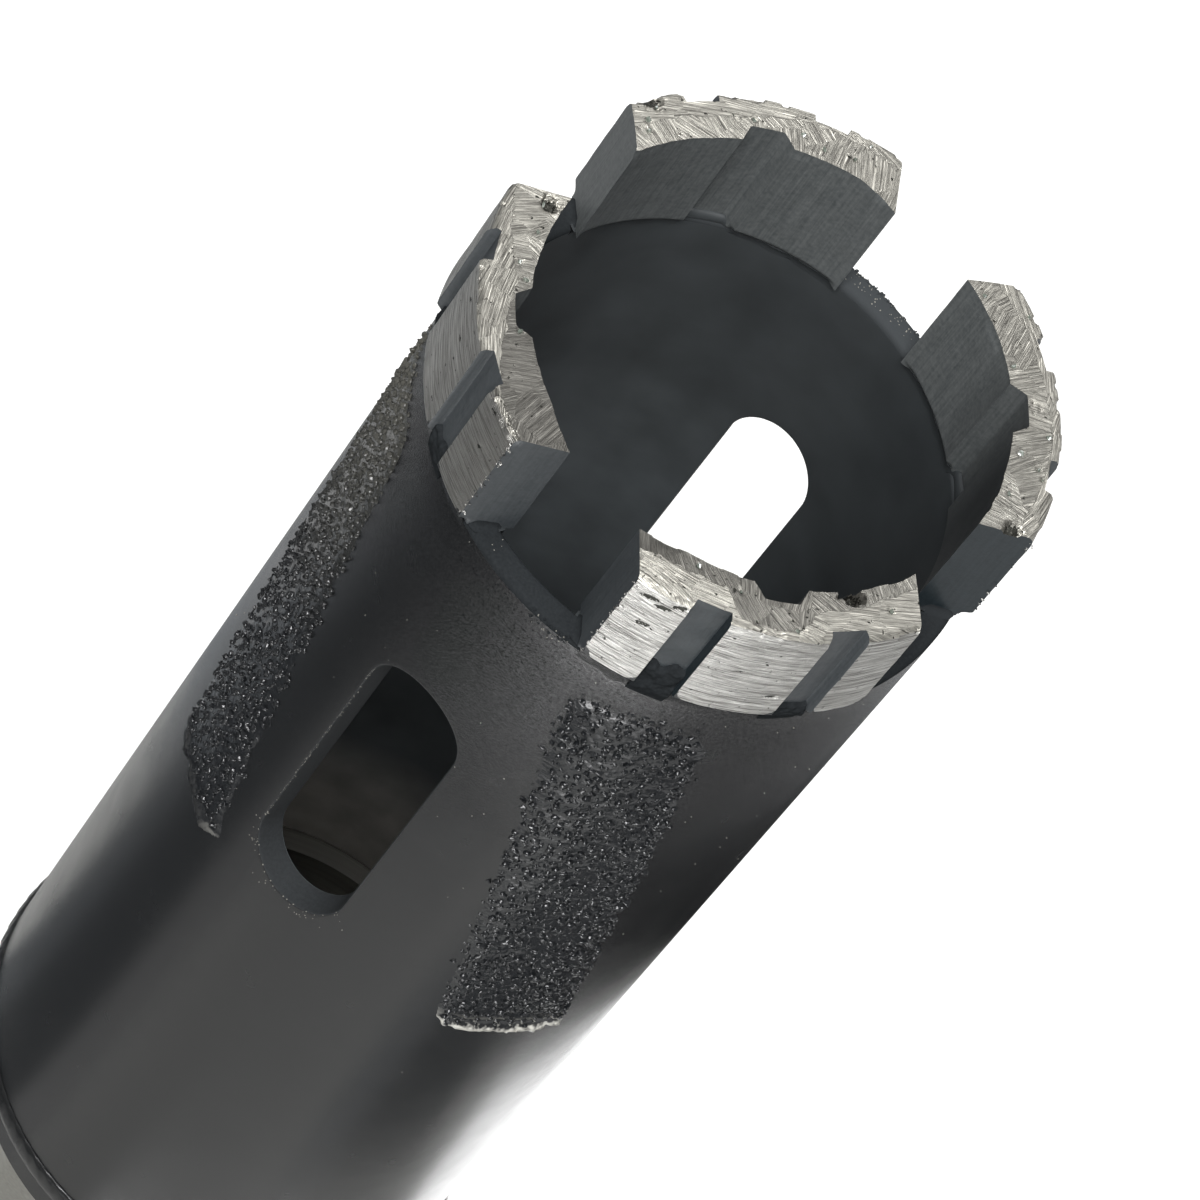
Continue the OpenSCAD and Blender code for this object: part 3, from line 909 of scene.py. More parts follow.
def flake_edges(form, points, radius, angle, torn, rng):
    """Breaks flakes off both edges of a crown, each with its own length and depth."""
    edges = ((form.outer_r, form.outer_half, -1, 0.24), (form.inner_r, form.inner_half, 1, 0.1))
    flakes = 60
    for edge_r, edge_half, sign, reach in edges:
        breaks = np.cumsum(rng.uniform(0.35, 1.2, flakes)) * MM / edge_r - edge_half
        depths = rng.uniform(0, 1, flakes) ** 2 * reach * MM
        flake = depths[np.searchsorted(breaks, angle).clip(0, flakes - 1)]
        near_edge = ease(1 - np.abs(radius - edge_r) / (0.55 * MM))
        points[:, :2] *= (1 + sign * flake * near_edge * torn / radius)[:, None]
        points[:, 2] -= 0.7 * flake * near_edge * torn


def sink_stones(form, number, points, pit_shade, below, rng):
    """Sinks the pits of a crown's diamonds and of lost ones, and gives back the diamonds' places."""
    sunk = 0.13 * MM
    marks = [(math.radians(t), r * MM, 0.3 * MM, sunk, 0.55) for t, r in STONES[number]]
    for _ in range(7):
        place_r = rng.uniform(form.inner_r + 0.3 * MM, form.outer_r - 0.4 * MM)
        marks.append((rng.uniform(-0.5, 0.5), place_r, rng.uniform(0.14, 0.22) * MM, 0.08 * MM, 0.7))
    # each pit is also drawn dark by its darkness, as painted shade
    for turned, place_r, size, depth, darkness in marks:
        apart = np.hypot(*(points[:, :2] - polar(place_r, turned, 0)[:2]).T)
        bite = ease(1.5 * (1 - apart / size)) * (below > -1 * MM)
        points[:, 2] -= bite * depth
        np.maximum(pit_shade, bite * darkness, out=pit_shade)
    turned, place_r = np.array([mark[:2] for mark in marks[:len(STONES[number])]]).T
    strip = np.mean(STRIP_BORDERS[number], axis=0)[1] * MM
    fallen = np.interp(place_r, (0, strip, 1), (0, 0, math.tan(form.sizes.fall)))
    return polar(place_r, turned, CROWN_Z - fallen - sunk * 0.9)


def break_chips(number, points, pit_shade, below):
    """Breaks the larger chips out of a crown."""
    for degrees, chip_r, size, depth in CHIPS[number]:
        place = polar(chip_r * MM, math.radians(degrees), CROWN_Z)
        facets = 1 + 0.5 * wander(points, 0.35 * MM, 70 + number)
        apart = np.linalg.norm((points - place) * (1, 1, 0.6), axis=1)
        bite = ease(1.6 * (facets - apart / (size * MM))) * (below > -2 * MM)
        points[:, 2] -= bite * depth * MM
        np.maximum(pit_shade, bite * 0.8, out=pit_shade)


def tear_outside(form, number, points, pit_shade, radius, angle):
    """Tears metal out of a segment's outside."""
    for degrees, level, size in TEARS[number]:
        beside = form.outer_r * (angle - math.radians(degrees))
        over = points[:, 2] - RIM_Z - level * MM - 0.25 * beside
        apart = np.sqrt(beside**2 + (2.6 * over) ** 2 + (2 * (radius - form.outer_r)) ** 2)
        bite = 0.85 * ease(1.5 * (1 - apart / (size * MM)))
        points[:, :2] *= (1 - bite * 0.08 * MM / np.maximum(radius, 1 * MM))[:, None]
        np.maximum(pit_shade, bite, out=pit_shade)


def bare_metal(form, angle, up):
    """How far each point lies inside the bare metal of its tooth."""
    sizes = form.sizes
    bend = sizes.paint_corner
    groove = math.asin(sizes.outer_width / 2 / form.outer_r)
    teeth = (
        (-form.outer_half, -form.groove_angle - groove),
        (-form.groove_angle + groove, form.groove_angle - groove),
        (form.groove_angle + groove, form.outer_half),
    )
    bare = np.full(len(angle), -1.0)
    for start, stop in teeth:
        beside = form.outer_r * np.minimum(angle - start, stop - angle)
        from_side = np.minimum(beside + 0.1 * MM - bend, 0)
        distance = bend - np.hypot(from_side, np.minimum(up - bend, 0))
        bare = np.maximum(bare, np.where(beside > -0.2 * MM, distance, -1.0))
    return bare


def make_segment(number):
    """One segment, with its grooves, ground crown, chips and torn edges; gives its diamonds' places."""
    form = SegmentForm()
    outer, inner, grooved = form.columns()
    through, upward = 24, 62
    places, sides = box_lattice(len(outer) - 1, through, upward)
    column, share, rise = places[:, 0], places[:, 1] / through, places[:, 2] / upward
    inside = polar(form.inner_r + form.inner_depth(inner)[column], inner[column], 0)
    outside = polar(form.outer_r - form.outer_depth(outer)[column], outer[column], 0)
    points = inside + (outside - inside) * share[:, None]
    radius = np.hypot(points[:, 0], points[:, 1])
    angle = np.arctan2(points[:, 1], points[:, 0])
    borders = np.array(STRIP_BORDERS[number])
    border = np.interp(np.degrees(angle), borders[:, 0], borders[:, 1]) * MM
    points[:, 2] = RIM_Z + (crown_height(form, number, points, radius, border) - RIM_Z) * rise
    # a worn or dressed face wanders a few hundredths of a millimetre
    spot = points.copy()
    points[:, 2] += 0.035 * MM * wander(spot, 2.2 * MM, number) * rise
    points[:, :2] *= (1 + 0.03 * MM * wander(spot, 1.6 * MM, 10 + number) / radius)[:, None]
    run_into_wall(form, points, radius, angle)

    rng = np.random.default_rng(100 + number)
    below = points[:, 2] - CROWN_Z
    pit_shade = np.zeros(len(points))
    flake_edges(form, points, radius, angle, ease(1 + (below + 0.25 * MM) / (0.7 * MM)), rng)
    stones = sink_stones(form, number, points, pit_shade, below, rng)
    break_chips(number, points, pit_shade, below)
    tear_outside(form, number, points, pit_shade, radius, angle)
    bare = bare_metal(form, angle, points[:, 2] - RIM_Z - form.sizes.paint_edge)

    skin = Skin()
    skin.add(turned_about(points, middle_of(number)))
    for side, grid in sides.items():
        corners = (grid[:-1, :-1], grid[1:, :-1], grid[1:, 1:], grid[:-1, 1:])
        if side == "outside":
            skin.quads(*(c[~grooved] for c in corners), 1)
            for groove, rows in (("start groove", outer[:-1] < 0), ("end groove", outer[:-1] > 0)):
                coat = SIDE_COATS.get((number, groove), 3)
                skin.quads(*(c[grooved & rows] for c in corners), coat)
        else:
            skin.quads(*corners, SIDE_COATS.get((number, side), SIDE_COATS[side]))
    way = (-form.outer_half, 0, form.outer_half)
    segment = skin.build(f"segment_block_{number}", SEGMENT_FINISHES, 38, {
        "pit_shade": pit_shade,
        "bare": bare,
        "strip": radius - border,
        "crown_shade": np.interp(angle, way, CROWN_SHADE[number]),
        "soil_and_shade": np.interp(angle, way, SOIL_AND_SHADE[number]),
    })
    finish_piece(segment, "segment", f"segment_{number}")
    return turned_about(stones, middle_of(number))


def turned_about(points, angle):
    """These points, turned about the bit's axis."""
    cosine, sine = math.cos(angle), math.sin(angle)
    out = np.array(points, float)
    out[:, 0] = points[:, 0] * cosine - points[:, 1] * sine
    out[:, 1] = points[:, 0] * sine + points[:, 1] * cosine
    return out


def make_residue(number):
    """Slag and coat that ran together at the foot of a segment's two outer grooves."""
    form = SegmentForm()
    sizes = form.sizes
    floor_r = form.outer_r - sizes.outer_depth
    below = 1.2 * MM
    skin = Skin()
    for side, fill in zip((-1, 1), RESIDUE[number]):
        half = (sizes.outer_width / 2 + 0.02 * MM) / form.outer_r
        across = np.linspace(-half, half, 26) + side * form.groove_angle
        upward = np.linspace(RIM_Z - below, RIM_Z + 1.35 * fill * MM, 44)
        angle, height = np.meshgrid(across + middle_of(number), upward)
        place = polar(floor_r, angle, height)
        edge = RIM_Z + fill * MM * (1 + 0.4 * wander(place * (1, 1, 0), 0.8 * MM, 5 + number))
        lumps = 1 + 0.45 * wander(place, 0.7 * MM, 90 + number) + 0.3 * wander(place, 0.3 * MM, 95)
        thick = 0.34 * MM * ease((edge - height) / (0.25 * MM)) * lumps
        low = ease((height - RIM_Z + below) / (1.3 * MM))
        top = skin.add(polar(floor_r + thick * low - 0.03 * MM, angle, height))
        under = skin.add(polar(floor_r - 0.3 * MM, angle, height))
        skin.sheet(top)
        skin.band(edge_of(top), edge_of(under))
        skin.sheet(under, turned=True)
    finish_piece(skin.build(f"groove_residue_{number}", [dull_coat]), "weld")


def make_segment_seam(number):
    """The seam of one segment: a lumpy fillet inside the tube, one outside and one across each end."""
    form = SegmentForm()
    bore_r = TUBE_R - settings().tube.wall
    leg = settings().weld.leg
    groove_r = form.inner_r + form.sizes.inner_depth
    middle = middle_of(number)
    skin = Skin()
    # for each wall: its radius, where the seam ends on the rim, half its angle and how deep it roots
    seams = (
        (bore_r, bore_r - 0.24 * MM, form.inner_half * 0.985, 0.3 * MM),
        (TUBE_R, TUBE_R + 0.26 * MM, form.outer_half, -0.3 * MM),
    )
    for wall_r, edge_r, half, root in seams:
        inside = edge_r < wall_r
        turned = np.linspace(-half, half, 130)
        stations = turned + middle
        path = polar(wall_r, stations, RIM_Z)
        lumps = 1 + 0.35 * wander(path, 1.1 * MM, 31 + number)
        drift = 0.25 * MM * wander(path, 3.5 * MM, 47 + number)
        # in the inner groove the seam climbs over the rim to the groove's floor
        climb = form.inner_depth(turned) / form.sizes.inner_depth * inside
        width = (edge_r - wall_r) * (1 - climb) + (groove_r - wall_r) * climb
        top = RIM_Z + 0.6 * MM * climb
        rows = []
        for lean in np.linspace(0, 1, 9) * math.pi / 2:
            radius = wall_r + width * (1 - 0.9 * math.cos(lean)) * lumps
            drop = (leg + drift) * (1 - 0.3 * climb) * (1 - 0.9 * math.sin(lean)) * lumps
            rows.append(skin.add(polar(radius, stations, top - drop)))
        if not inside:
            over = (0.34 + 0.1 * wander(path, 0.9 * MM, 53 + number)) * MM
            rows.append(skin.add(polar(edge_r + 0.08 * MM, stations, RIM_Z + over)))
        for height in (0.05 * MM, -leg):
            rows.append(skin.add(polar(wall_r + root, stations, RIM_Z + height)))
        skin.bar(rows, 1 if inside else 0)
    # the fillet across each end runs over this share of its width, and reaches this far out and up
    start, stop, reach = 0.2, 0.76, 0.5 * MM
    bends = [(1 - math.sin(lean), 1 - math.cos(lean)) for lean in np.linspace(0, math.pi / 2, 7)]
    for sign in (-1, 1):
        inner_end = np.array(form.corner) * (1, sign)
        way = np.array(form.outer_corner) * (1, sign) - inner_end
        facing = np.array([-way[1], way[0]]) * sign / np.linalg.norm(way)
        share = np.linspace(start, stop, 22)[:, None]
        line = inner_end + way * share
        taper = ease(3.5 * np.minimum(share - start, stop - share) / (stop - start) + 0.25)[:, 0]
        lumps = taper * (1 + 0.2 * wander(np.pad(line, ((0, 0), (0, 1))), 0.7 * MM, 80 + number))
        rows = []
        for out, up in bends + [(-0.2, 1.0), (-0.2, -0.3), (1.0, -0.3)]:
            plan = line + facing * (reach * out * lumps)[:, None]
            spot = np.column_stack([plan, RIM_Z + reach * up * lumps])
            rows.append(skin.add(turned_about(spot, middle)))
        skin.bar(rows, 2)
    seam = skin.build(f"segment_seam_{number}", TUBE_COATS, 60)
    finish_piece(seam, "weld", f"segment_weld_{number}")


def make_grit_layer(number):
    """The resin layer of one patch, whose ragged edge dips under the tube's surface."""
    sizes = settings().grit
    half_width, half_length = sizes.width / 2, sizes.length / 2
    margin = 0.8 * MM
    across = np.linspace(-half_width - margin, half_width + margin, 52)
    along = np.linspace(half_length + margin, -half_length - margin, 190)
    side, down = np.meshgrid(across, along)
    height = RIM_Z - sizes.depth - half_length + down
    angle = middle_of(number) + (side - down * math.tan(sizes.slant)) / TUBE_R
    place = polar(TUBE_R, angle, height)
    # distance inside the parallelogram with round corners, made ragged
    from_side = half_width - np.abs(side)
    from_end = half_length - np.abs(down)
    bend = sizes.corner
    inset = bend - np.hypot(np.minimum(from_side - bend, 0), np.minimum(from_end - bend, 0))
    inset = np.where((from_side > bend) & (from_end > bend), np.minimum(from_side, from_end), inset)
    inset = inset + 0.28 * MM * wander(place, 1.3 * MM, number)
    inset = inset + 0.14 * MM * wander(place, 0.5 * MM, 20 + number)
    near_foot = ease(1 - (down + half_length) / (3 * MM))
    near_top = ease(1 - (half_length - down) / (2.5 * MM))
    lift = ease(inset / ((1.5 - 1.25 * near_foot + 1.6 * near_top) * MM))
    # the resin ran down before it set, so that it is thickest along the lower edge
    inward = ease(inset / (1.5 * MM))
    pooled = ease(1 - (down + half_length) / (1.2 * MM)) * ease(from_side / (1.2 * MM))
    binder = sizes.binder * (0.2 + 0.5 * inward + 3.8 * pooled) * (1 - 0.8 * near_top)
    bumps = 0.05 * MM * wander(place, 0.6 * MM, 60 + number) * (1 - 0.7 * near_top)
    waves = 0.07 * MM * wander(place, 1.4 * MM, 66 + number) * inward * (1 - 0.7 * near_top)
    radius = TUBE_R + lift * (binder + bumps + waves) - (1 - lift) * 0.06 * MM
    skin = Skin()
    top = skin.add(polar(radius, angle, height))
    skin.sheet(top, turned=True)
    under = skin.add(polar(TUBE_R - 0.5 * MM, edge_of(angle), edge_of(height)))
    skin.band(edge_of(top), under)
    # long faces close the underside from edge to edge, inside the tube's wall
    rows, columns = side.shape
    low_start = columns + rows - 2
    low_end = low_start + columns - 1
    left = np.concatenate([under[:1], under[:low_end - 1:-1]])[:rows]
    right = under[columns - 1:low_start + 1]
    skin.quads(left[:-1], right[:-1], right[1:], left[1:])
    skin.cap(under[:columns])
    skin.cap(under[low_start:low_end + 1])
    attributes = np.zeros(skin.count)
    attributes[:top.size] = (ease((inset - 0.05 * MM) / (0.9 * MM)) * (1 - 0.8 * pooled)).ravel()
    return skin.build(f"grit_layer_{number}", [grit_coat], None, {"scatter": attributes})


def new_geometry_tree(name, inputs):
    """A geometry tree with a geometry input and output, and these inputs by name, kind and default."""
    tree = bpy.data.node_groups.new(name, "GeometryNodeTree")
    for key, kind, default in [("Geometry", "Geometry", None), *inputs]:
        socket = tree.interface.new_socket(name=key, in_out="INPUT", socket_type=f"NodeSocket{kind}")
        if default is not None:
            socket.default_value = default
    tree.interface.new_socket(name="Geometry", in_out="OUTPUT", socket_type="NodeSocketGeometry")
    return tree, add(tree, "NodeGroupInput").outputs


def applied(piece, tree, values):
    """The mesh that a geometry tree makes of a piece."""
    modifier = piece.modifiers.new("shape", "NODES")
    modifier.node_group = tree
    for socket in tree.interface.items_tree:
        if socket.name in values:
            modifier[socket.identifier] = values[socket.name]
    bpy.context.view_layer.update()
    result = piece.evaluated_get(bpy.context.evaluated_depsgraph_get())
    mesh = bpy.data.meshes.new_from_object(result)
    piece.modifiers.remove(modifier)
    return mesh


def end_tree(tree, given, shape, smooth):
    """Ends a geometry tree with the shading and the material of its mesh."""
    shaded = add(tree, "GeometryNodeSetShadeSmooth", {"Geometry": shape, "Shade Smooth": smooth})
    dressed = add(tree, "GeometryNodeSetMaterial", {"Geometry": shaded, "Material": given["Material"]})
    add(tree, "NodeGroupOutput", {"Geometry": dressed})
    return tree


def grain_tree(name, strewn, detail, smooth):
    """Sets a broken grain on each point of a mesh, or strews them where its scatter attribute is high."""
    inputs = [
        ("Grain", "Float", 0.4 * MM), ("Spacing", "Float", 0.4 * MM),
        ("Density", "Float", 4e6), ("Sink", "Float", 0.0),
        ("Material", "Material", None), ("Seed", "Int", 1),
    ]
    tree, given = new_geometry_tree(name, inputs)
    if strewn:
        wanted = add(tree, "GeometryNodeInputNamedAttribute", {"Name": "scatter"}, data_type="FLOAT")
        points = add(
            tree, "GeometryNodeDistributePointsOnFaces",
            {
                "Mesh": given["Geometry"], "Distance Min": given["Spacing"],
                "Density Max": given["Density"], "Density Factor": wanted, "Seed": given["Seed"],
            },
            distribute_method="POISSON",
        )
        sunk = add(tree, "VectorMath", points.outputs["Normal"], given["Sink"], operation="SCALE")
        placed = add(tree, "GeometryNodeSetPosition", {
            "Geometry": points.outputs["Points"], "Offset": sunk,
        })
    else:
        placed = add(tree, "GeometryNodeMeshToPoints", {"Mesh": given["Geometry"]})
    stone = add(tree, "GeometryNodeMeshUVSphere", {
        "Segments": detail, "Rings": detail - 2, "Radius": 0.5,
    })
    spin, stretch = (
        add(
            tree, "FunctionNodeRandomValue",
            {"Min": (low, low, low), "Max": (high, high, high), "Seed": given["Seed"]},
            data_type="FLOAT_VECTOR",
        )
        for low, high in ((0, FULL_TURN), (0.5, 1.35))
    )
    grown = add(tree, "VectorMath", stretch, given["Grain"], operation="SCALE")
    stones = add(tree, "GeometryNodeInstanceOnPoints", {
        "Points": placed, "Instance": stone.outputs["Mesh"], "Rotation": spin, "Scale": grown,
    })
    real = add(tree, "GeometryNodeRealizeInstances", {"Geometry": stones})
    place = add(tree, "GeometryNodeInputPosition")
    chips = add(tree, "TexNoise", place, 1 / (0.25 * MM), 1)
    centred = add(tree, "VectorMath", chips.outputs["Color"], (0.5, 0.5, 0.5), operation="SUBTRACT")
    broken = add(tree, "VectorMath", centred, given["Grain"], operation="SCALE")
    rough = add(tree, "GeometryNodeSetPosition", {"Geometry": real, "Offset": broken})
    return end_tree(tree, given, rough, smooth)


def mesh_piece(name, mesh):
    """Links a mesh to the scene as a new piece."""
    mesh.name = name
    made = bpy.data.objects.new(name, mesh)
    bpy.context.scene.collection.objects.link(made)
    return made


def joined(name, meshes, finish):
    """One mesh from several, each with its own normals kept."""
    work = bmesh.new()
    for mesh in meshes:
        work.from_mesh(mesh)
    whole = bpy.data.meshes.new(name)
    work.to_mesh(whole)
    work.free()
    whole.materials.append(finish)
    whole.shade_smooth()
    return whole


def make_grit_patch(number, trees):
    """One patch: its resin layer with coarse and fine grains strewn over it."""
    sizes = settings().grit
    layer = make_grit_layer(number)
    coat = material(grit_coat)
    meshes = [layer.data.copy()]
    grades = ((sizes.grain, 1.15, sizes.seed + number), (sizes.fine_grain, 2.3, sizes.seed + 7 * number))
    for tree, (grain, room, seed) in zip(trees, grades):
        meshes.append(applied(layer, tree, {
            "Grain": grain,
            "Spacing": grain * room,
            "Density": 2.2 / (grain * room) ** 2,
            "Sink": -0.1 * grain,
            "Material": coat,
            "Seed": seed,
        }))
    bpy.data.objects.remove(layer)
    patch = mesh_piece(f"grit_{number}", joined(f"grit_{number}", meshes, coat))
    finish_piece(patch, "grit", f"grit_patch_{number}")


def make_diamonds(places):
    """The diamonds that stand in their pits in the crowns."""
    strewn_on(places, "diamonds", "segment", diamond, 0.34 * MM, 8)


def make_crumbs():
    """Crumbs of stone and metal caught on the rim, and the burrs on the segments' upright corners."""
    tube = settings().tube
    form = SegmentForm()
    rng = np.random.default_rng(21)
    bore_r = TUBE_R - tube.wall
    # kind, degrees from +X at both ends, radius, and in mm its spread and the heights over the rim, count
    lines = (
        ("coat", -85, -76, TUBE_R - 0.1 * MM, 0.12, -0.9, 0.0, 28),
        ("dust", -84, -75, TUBE_R, 0.06, -1.3, 0.0, 14),
        ("coat", 82, 103, TUBE_R - 0.45 * MM, 0.35, -0.2, 0.0, 60),
        ("dust", 82, 104, bore_r + 0.5 * MM, 1.2, 0.0, 0.01, 50),
        ("dust", -118, -96, bore_r + 0.4 * MM, 1.2, 0.0, 0.01, 12),
    )
    # dust that the slot's lower end has caught round its edge, and the trace along its side
    slot = SlotForm(tube)
    middle = slot_centres()[1]
    heading = np.radians(rng.uniform(-170, -15, 45))
    beyond = rng.exponential(0.45, heading.size) * MM
    around = (0.3 * np.cos(heading), slot.low + 5 * MM * np.sin(heading))
    caught, height = slot.outline(*around, TUBE_R, beyond)
    along = rng.uniform(slot.low, slot.high + 1 * MM, 100)
    beyond = rng.normal(0.02, 0.06, along.size) * MM
    beside, level = slot.outline(np.full(along.size, -0.3), along, TUBE_R, beyond)
    grades = (
        ("coat", dull_coat, 0.22, []),
        ("dust", mineral_dust, 0.085, [polar(TUBE_R, caught + middle, height)]),
        ("trace", mineral_dust, 0.055, [polar(TUBE_R, beside + middle, level)]),
    )
    for kind, finish, grain, places in grades:
        for line_kind, start, end, radius, spread, low, high, count in lines:
            if line_kind == kind:
                turned = np.radians(rng.uniform(start, end, count))
                out = radius + rng.uniform(0, spread, count) * MM
                places.append(polar(out, turned, RIM_Z + rng.uniform(low, high, count) * MM))
        strewn_on(places, f"rim_crumbs_{kind}", "tube", finish, grain * MM, 3)
    places = []
    for number, sign, count in BURRS:
        height = rng.uniform(0.6, 9.6, count) * MM
        corner = np.array(form.outer_corner) * (1, sign)
        slip = rng.normal(0, 0.09, (count, 2)) * MM - 0.05 * MM * corner / np.linalg.norm(corner)
        spots = np.column_stack([corner + slip, RIM_Z + height])
        places.append(turned_about(spots, middle_of(number)))
    strewn_on(places, "corner_burrs", "segment", ground_flank, 0.14 * MM, 9)


def grown(name, tree, values, points=()):
    """The piece that a geometry tree grows on these points, or from nothing."""
    base = mesh_piece("base", bpy.data.meshes.new("base"))
    base.data.from_pydata(points, [], [])
    made = mesh_piece(name, applied(base, tree, values))
    bpy.data.objects.remove(base)
    return made


def strewn_on(places, name, slot, finish, grain, seed):
    """Makes a piece with a broken grain at each of these places."""
    values = {"Grain": grain, "Material": material(finish), "Seed": seed}
    tree = grain_tree(f"{name}_setting", False, 6, False)
    finish_piece(grown(name, tree, values, np.concatenate(places).tolist()), slot)


def make_hub():
    """The hub: turned boss with milled flats, shoulder, spigot and a cut thread."""
    sizes = settings().hub
    tube = settings().tube
    top = HUB_HIGH.z
    core_r, boss_r = sizes.core_d / 2, sizes.boss_d / 2
    spigot_r = TUBE_R - tube.wall - sizes.spigot_gap
    recess_r, recess_z = spigot_r - sizes.spigot_wall, top - sizes.recess
    chamfer, shoulder, flats = sizes.chamfer, sizes.boss_length, sizes.flats_length
    root, throat, spigot_chamfer = 0.6 * MM, 0.6 * MM, 0.45 * MM
    half_flats = sizes.flats_width / 2
    flat_angle = math.acos(half_flats / boss_r)
    turns = [-math.pi / 2 + flat_angle, math.pi / 2 - flat_angle, math.pi / 2 + flat_angle]
    spans = [
        np.linspace(start, stop, count, endpoint=False)
        for start, stop, count in zip(turns, turns[1:], (48, 24))
    ]
    angles = np.concatenate(spans + [span + math.pi for span in spans])
    milled = [
        (core_r + chamfer, 0), (boss_r - chamfer, 0), (boss_r - chamfer / 2, chamfer / 2),
        (boss_r, chamfer), (boss_r, flats / 2), (boss_r, flats),
    ]
    round_above = [
        (boss_r, flats), (boss_r, shoulder - root), (boss_r + 0.3 * root, shoulder - 0.3 * root),
        (boss_r + root, shoulder), (TUBE_R - chamfer, shoulder), (TUBE_R, shoulder + chamfer),
        (TUBE_R, SHOULDER_Z - tube.weld_groove), (TUBE_R - tube.weld_groove, SHOULDER_Z),
        (spigot_r, SHOULDER_Z), (spigot_r, top - spigot_chamfer), (spigot_r - spigot_chamfer, top),
        (recess_r, top), (recess_r - sizes.recess / 2, recess_z), (core_r + throat, recess_z),
    ]
    skin = Skin()
    room = half_flats / np.maximum(np.abs(np.sin(angles)), 1e-6)
    rows = [skin.add(polar(np.minimum(float(radius), room), angles, height)) for radius, height in milled]
    rows += [skin.add(polar(float(radius), angles, height)) for radius, height in round_above]
    rows_per_turn = 14
    count = int(recess_z / sizes.thread_pitch * rows_per_turn)
    for level in np.linspace(recess_z, 0, count)[1:-1]:
        phase = (level / sizes.thread_pitch - angles / FULL_TURN) % 1.0
        groove = np.clip(1.5 * (1 - 2 * np.abs(phase - 0.5)) - 0.25, 0, 1)
        mouth = max(core_r + chamfer - level, core_r + throat - (recess_z - level))
        radius = np.maximum(core_r + sizes.thread_depth * groove, mouth)
        rows.append(skin.add(polar(radius, angles, level)))
    coated_from, coated_to = len(milled) + 4, len(milled) + 8
    for number, (first, second) in enumerate(zip(rows, rows[1:] + rows[:1])):
        skin.band(first, second, 1 if coated_from <= number < coated_to else 0)
    finish_piece(skin.build("turned_hub", [turned_steel, powder_coat], 30), "hub", "hub")


def ring_weld_tree():
    """A bead of weld around the tube, made from a circle and a round section."""
    inputs = [
        ("Radius", "Float", TUBE_R), ("Half Width", "Float", 1 * MM),
        ("Crown", "Float", 0.35 * MM), ("Height", "Float", SHOULDER_Z),
        ("Ripples", "Int", 84), ("Material", "Material", None),
        ("Seed", "Int", 3),
    ]
    tree, given = new_geometry_tree("ring_weld", inputs)
    steps = add(tree, "Math", given["Ripples"], 8.0, operation="MULTIPLY")
    circle = add(
        tree, "GeometryNodeCurvePrimitiveCircle", {"Resolution": steps, "Radius": given["Radius"]},
        mode="RADIUS",
    )
    section = add(
        tree, "GeometryNodeCurvePrimitiveCircle", {"Resolution": 20, "Radius": 1.0}, mode="RADIUS",
    )
    wide = add(tree, "CombineXYZ", given["Crown"], given["Half Width"], 1.0)
    shaped = add(tree, "GeometryNodeTransform", {"Geometry": section, "Scale": wide})
    swept = add(tree, "GeometryNodeCurveToMesh", {"Curve": circle, "Profile Curve": shaped})
    place = add(tree, "GeometryNodeInputPosition")
    parts = add(tree, "SeparateXYZ", place).outputs
    angle = add(tree, "Math", parts[1], parts[0], operation="ARCTAN2")
    share = add(tree, "Math", angle, FULL_TURN, operation="DIVIDE")
    waves = add(tree, "Math", share, given["Ripples"], operation="MULTIPLY")
    off_centre = add(tree, "Math", parts[2], given["Half Width"], operation="DIVIDE")
    bow = add(tree, "Math", off_centre, 2.0, operation="POWER")
    bent = add(tree, "Math", waves, bow, operation="ADD")
    phase = add(tree, "Math", bent, operation="FRACT")
    hump = add(tree, "Math", phase, 0.6, operation="POWER")
    uneven = add(tree, "TexNoise", place, given["Seed"], 1 / (2.5 * MM), 1, noise_dimensions="4D")
    height = add(tree, "Math", hump, uneven, operation="ADD")
    pulled = add(tree, "Math", height, 0.25, -0.3, operation="MULTIPLY_ADD")
    swell = add(tree, "Math", pulled, given["Crown"], operation="MULTIPLY")
    flat = add(tree, "CombineXYZ", parts[0], parts[1])
    outward = add(tree, "VectorMath", flat, operation="NORMALIZE")
    offset = add(tree, "VectorMath", outward, swell, operation="SCALE")
    rippled = add(tree, "GeometryNodeSetPosition", {"Geometry": swept, "Offset": offset})
    lift = add(tree, "CombineXYZ", 0.0, 0.0, given["Height"])
    raised = add(tree, "GeometryNodeTransform", {"Geometry": rippled, "Translation": lift})
    real = add(tree, "GeometryNodeRealizeInstances", {"Geometry": raised})
    return end_tree(tree, given, real, True)


def make_hub_weld():
    """The rippled bead between the tube and the hub."""
    sizes = settings().weld
    weld = grown("hub_bead", ring_weld_tree(), {
        "Radius": TUBE_R,
        "Half Width": sizes.ring_half,
        "Crown": sizes.ring_crown,
        "Height": SHOULDER_Z,
        "Ripples": round(FULL_TURN * TUBE_R / sizes.ripple),
        "Material": material(powder_coat),
        "Seed": 3,
    })
    finish_piece(weld, "weld", "hub_weld")


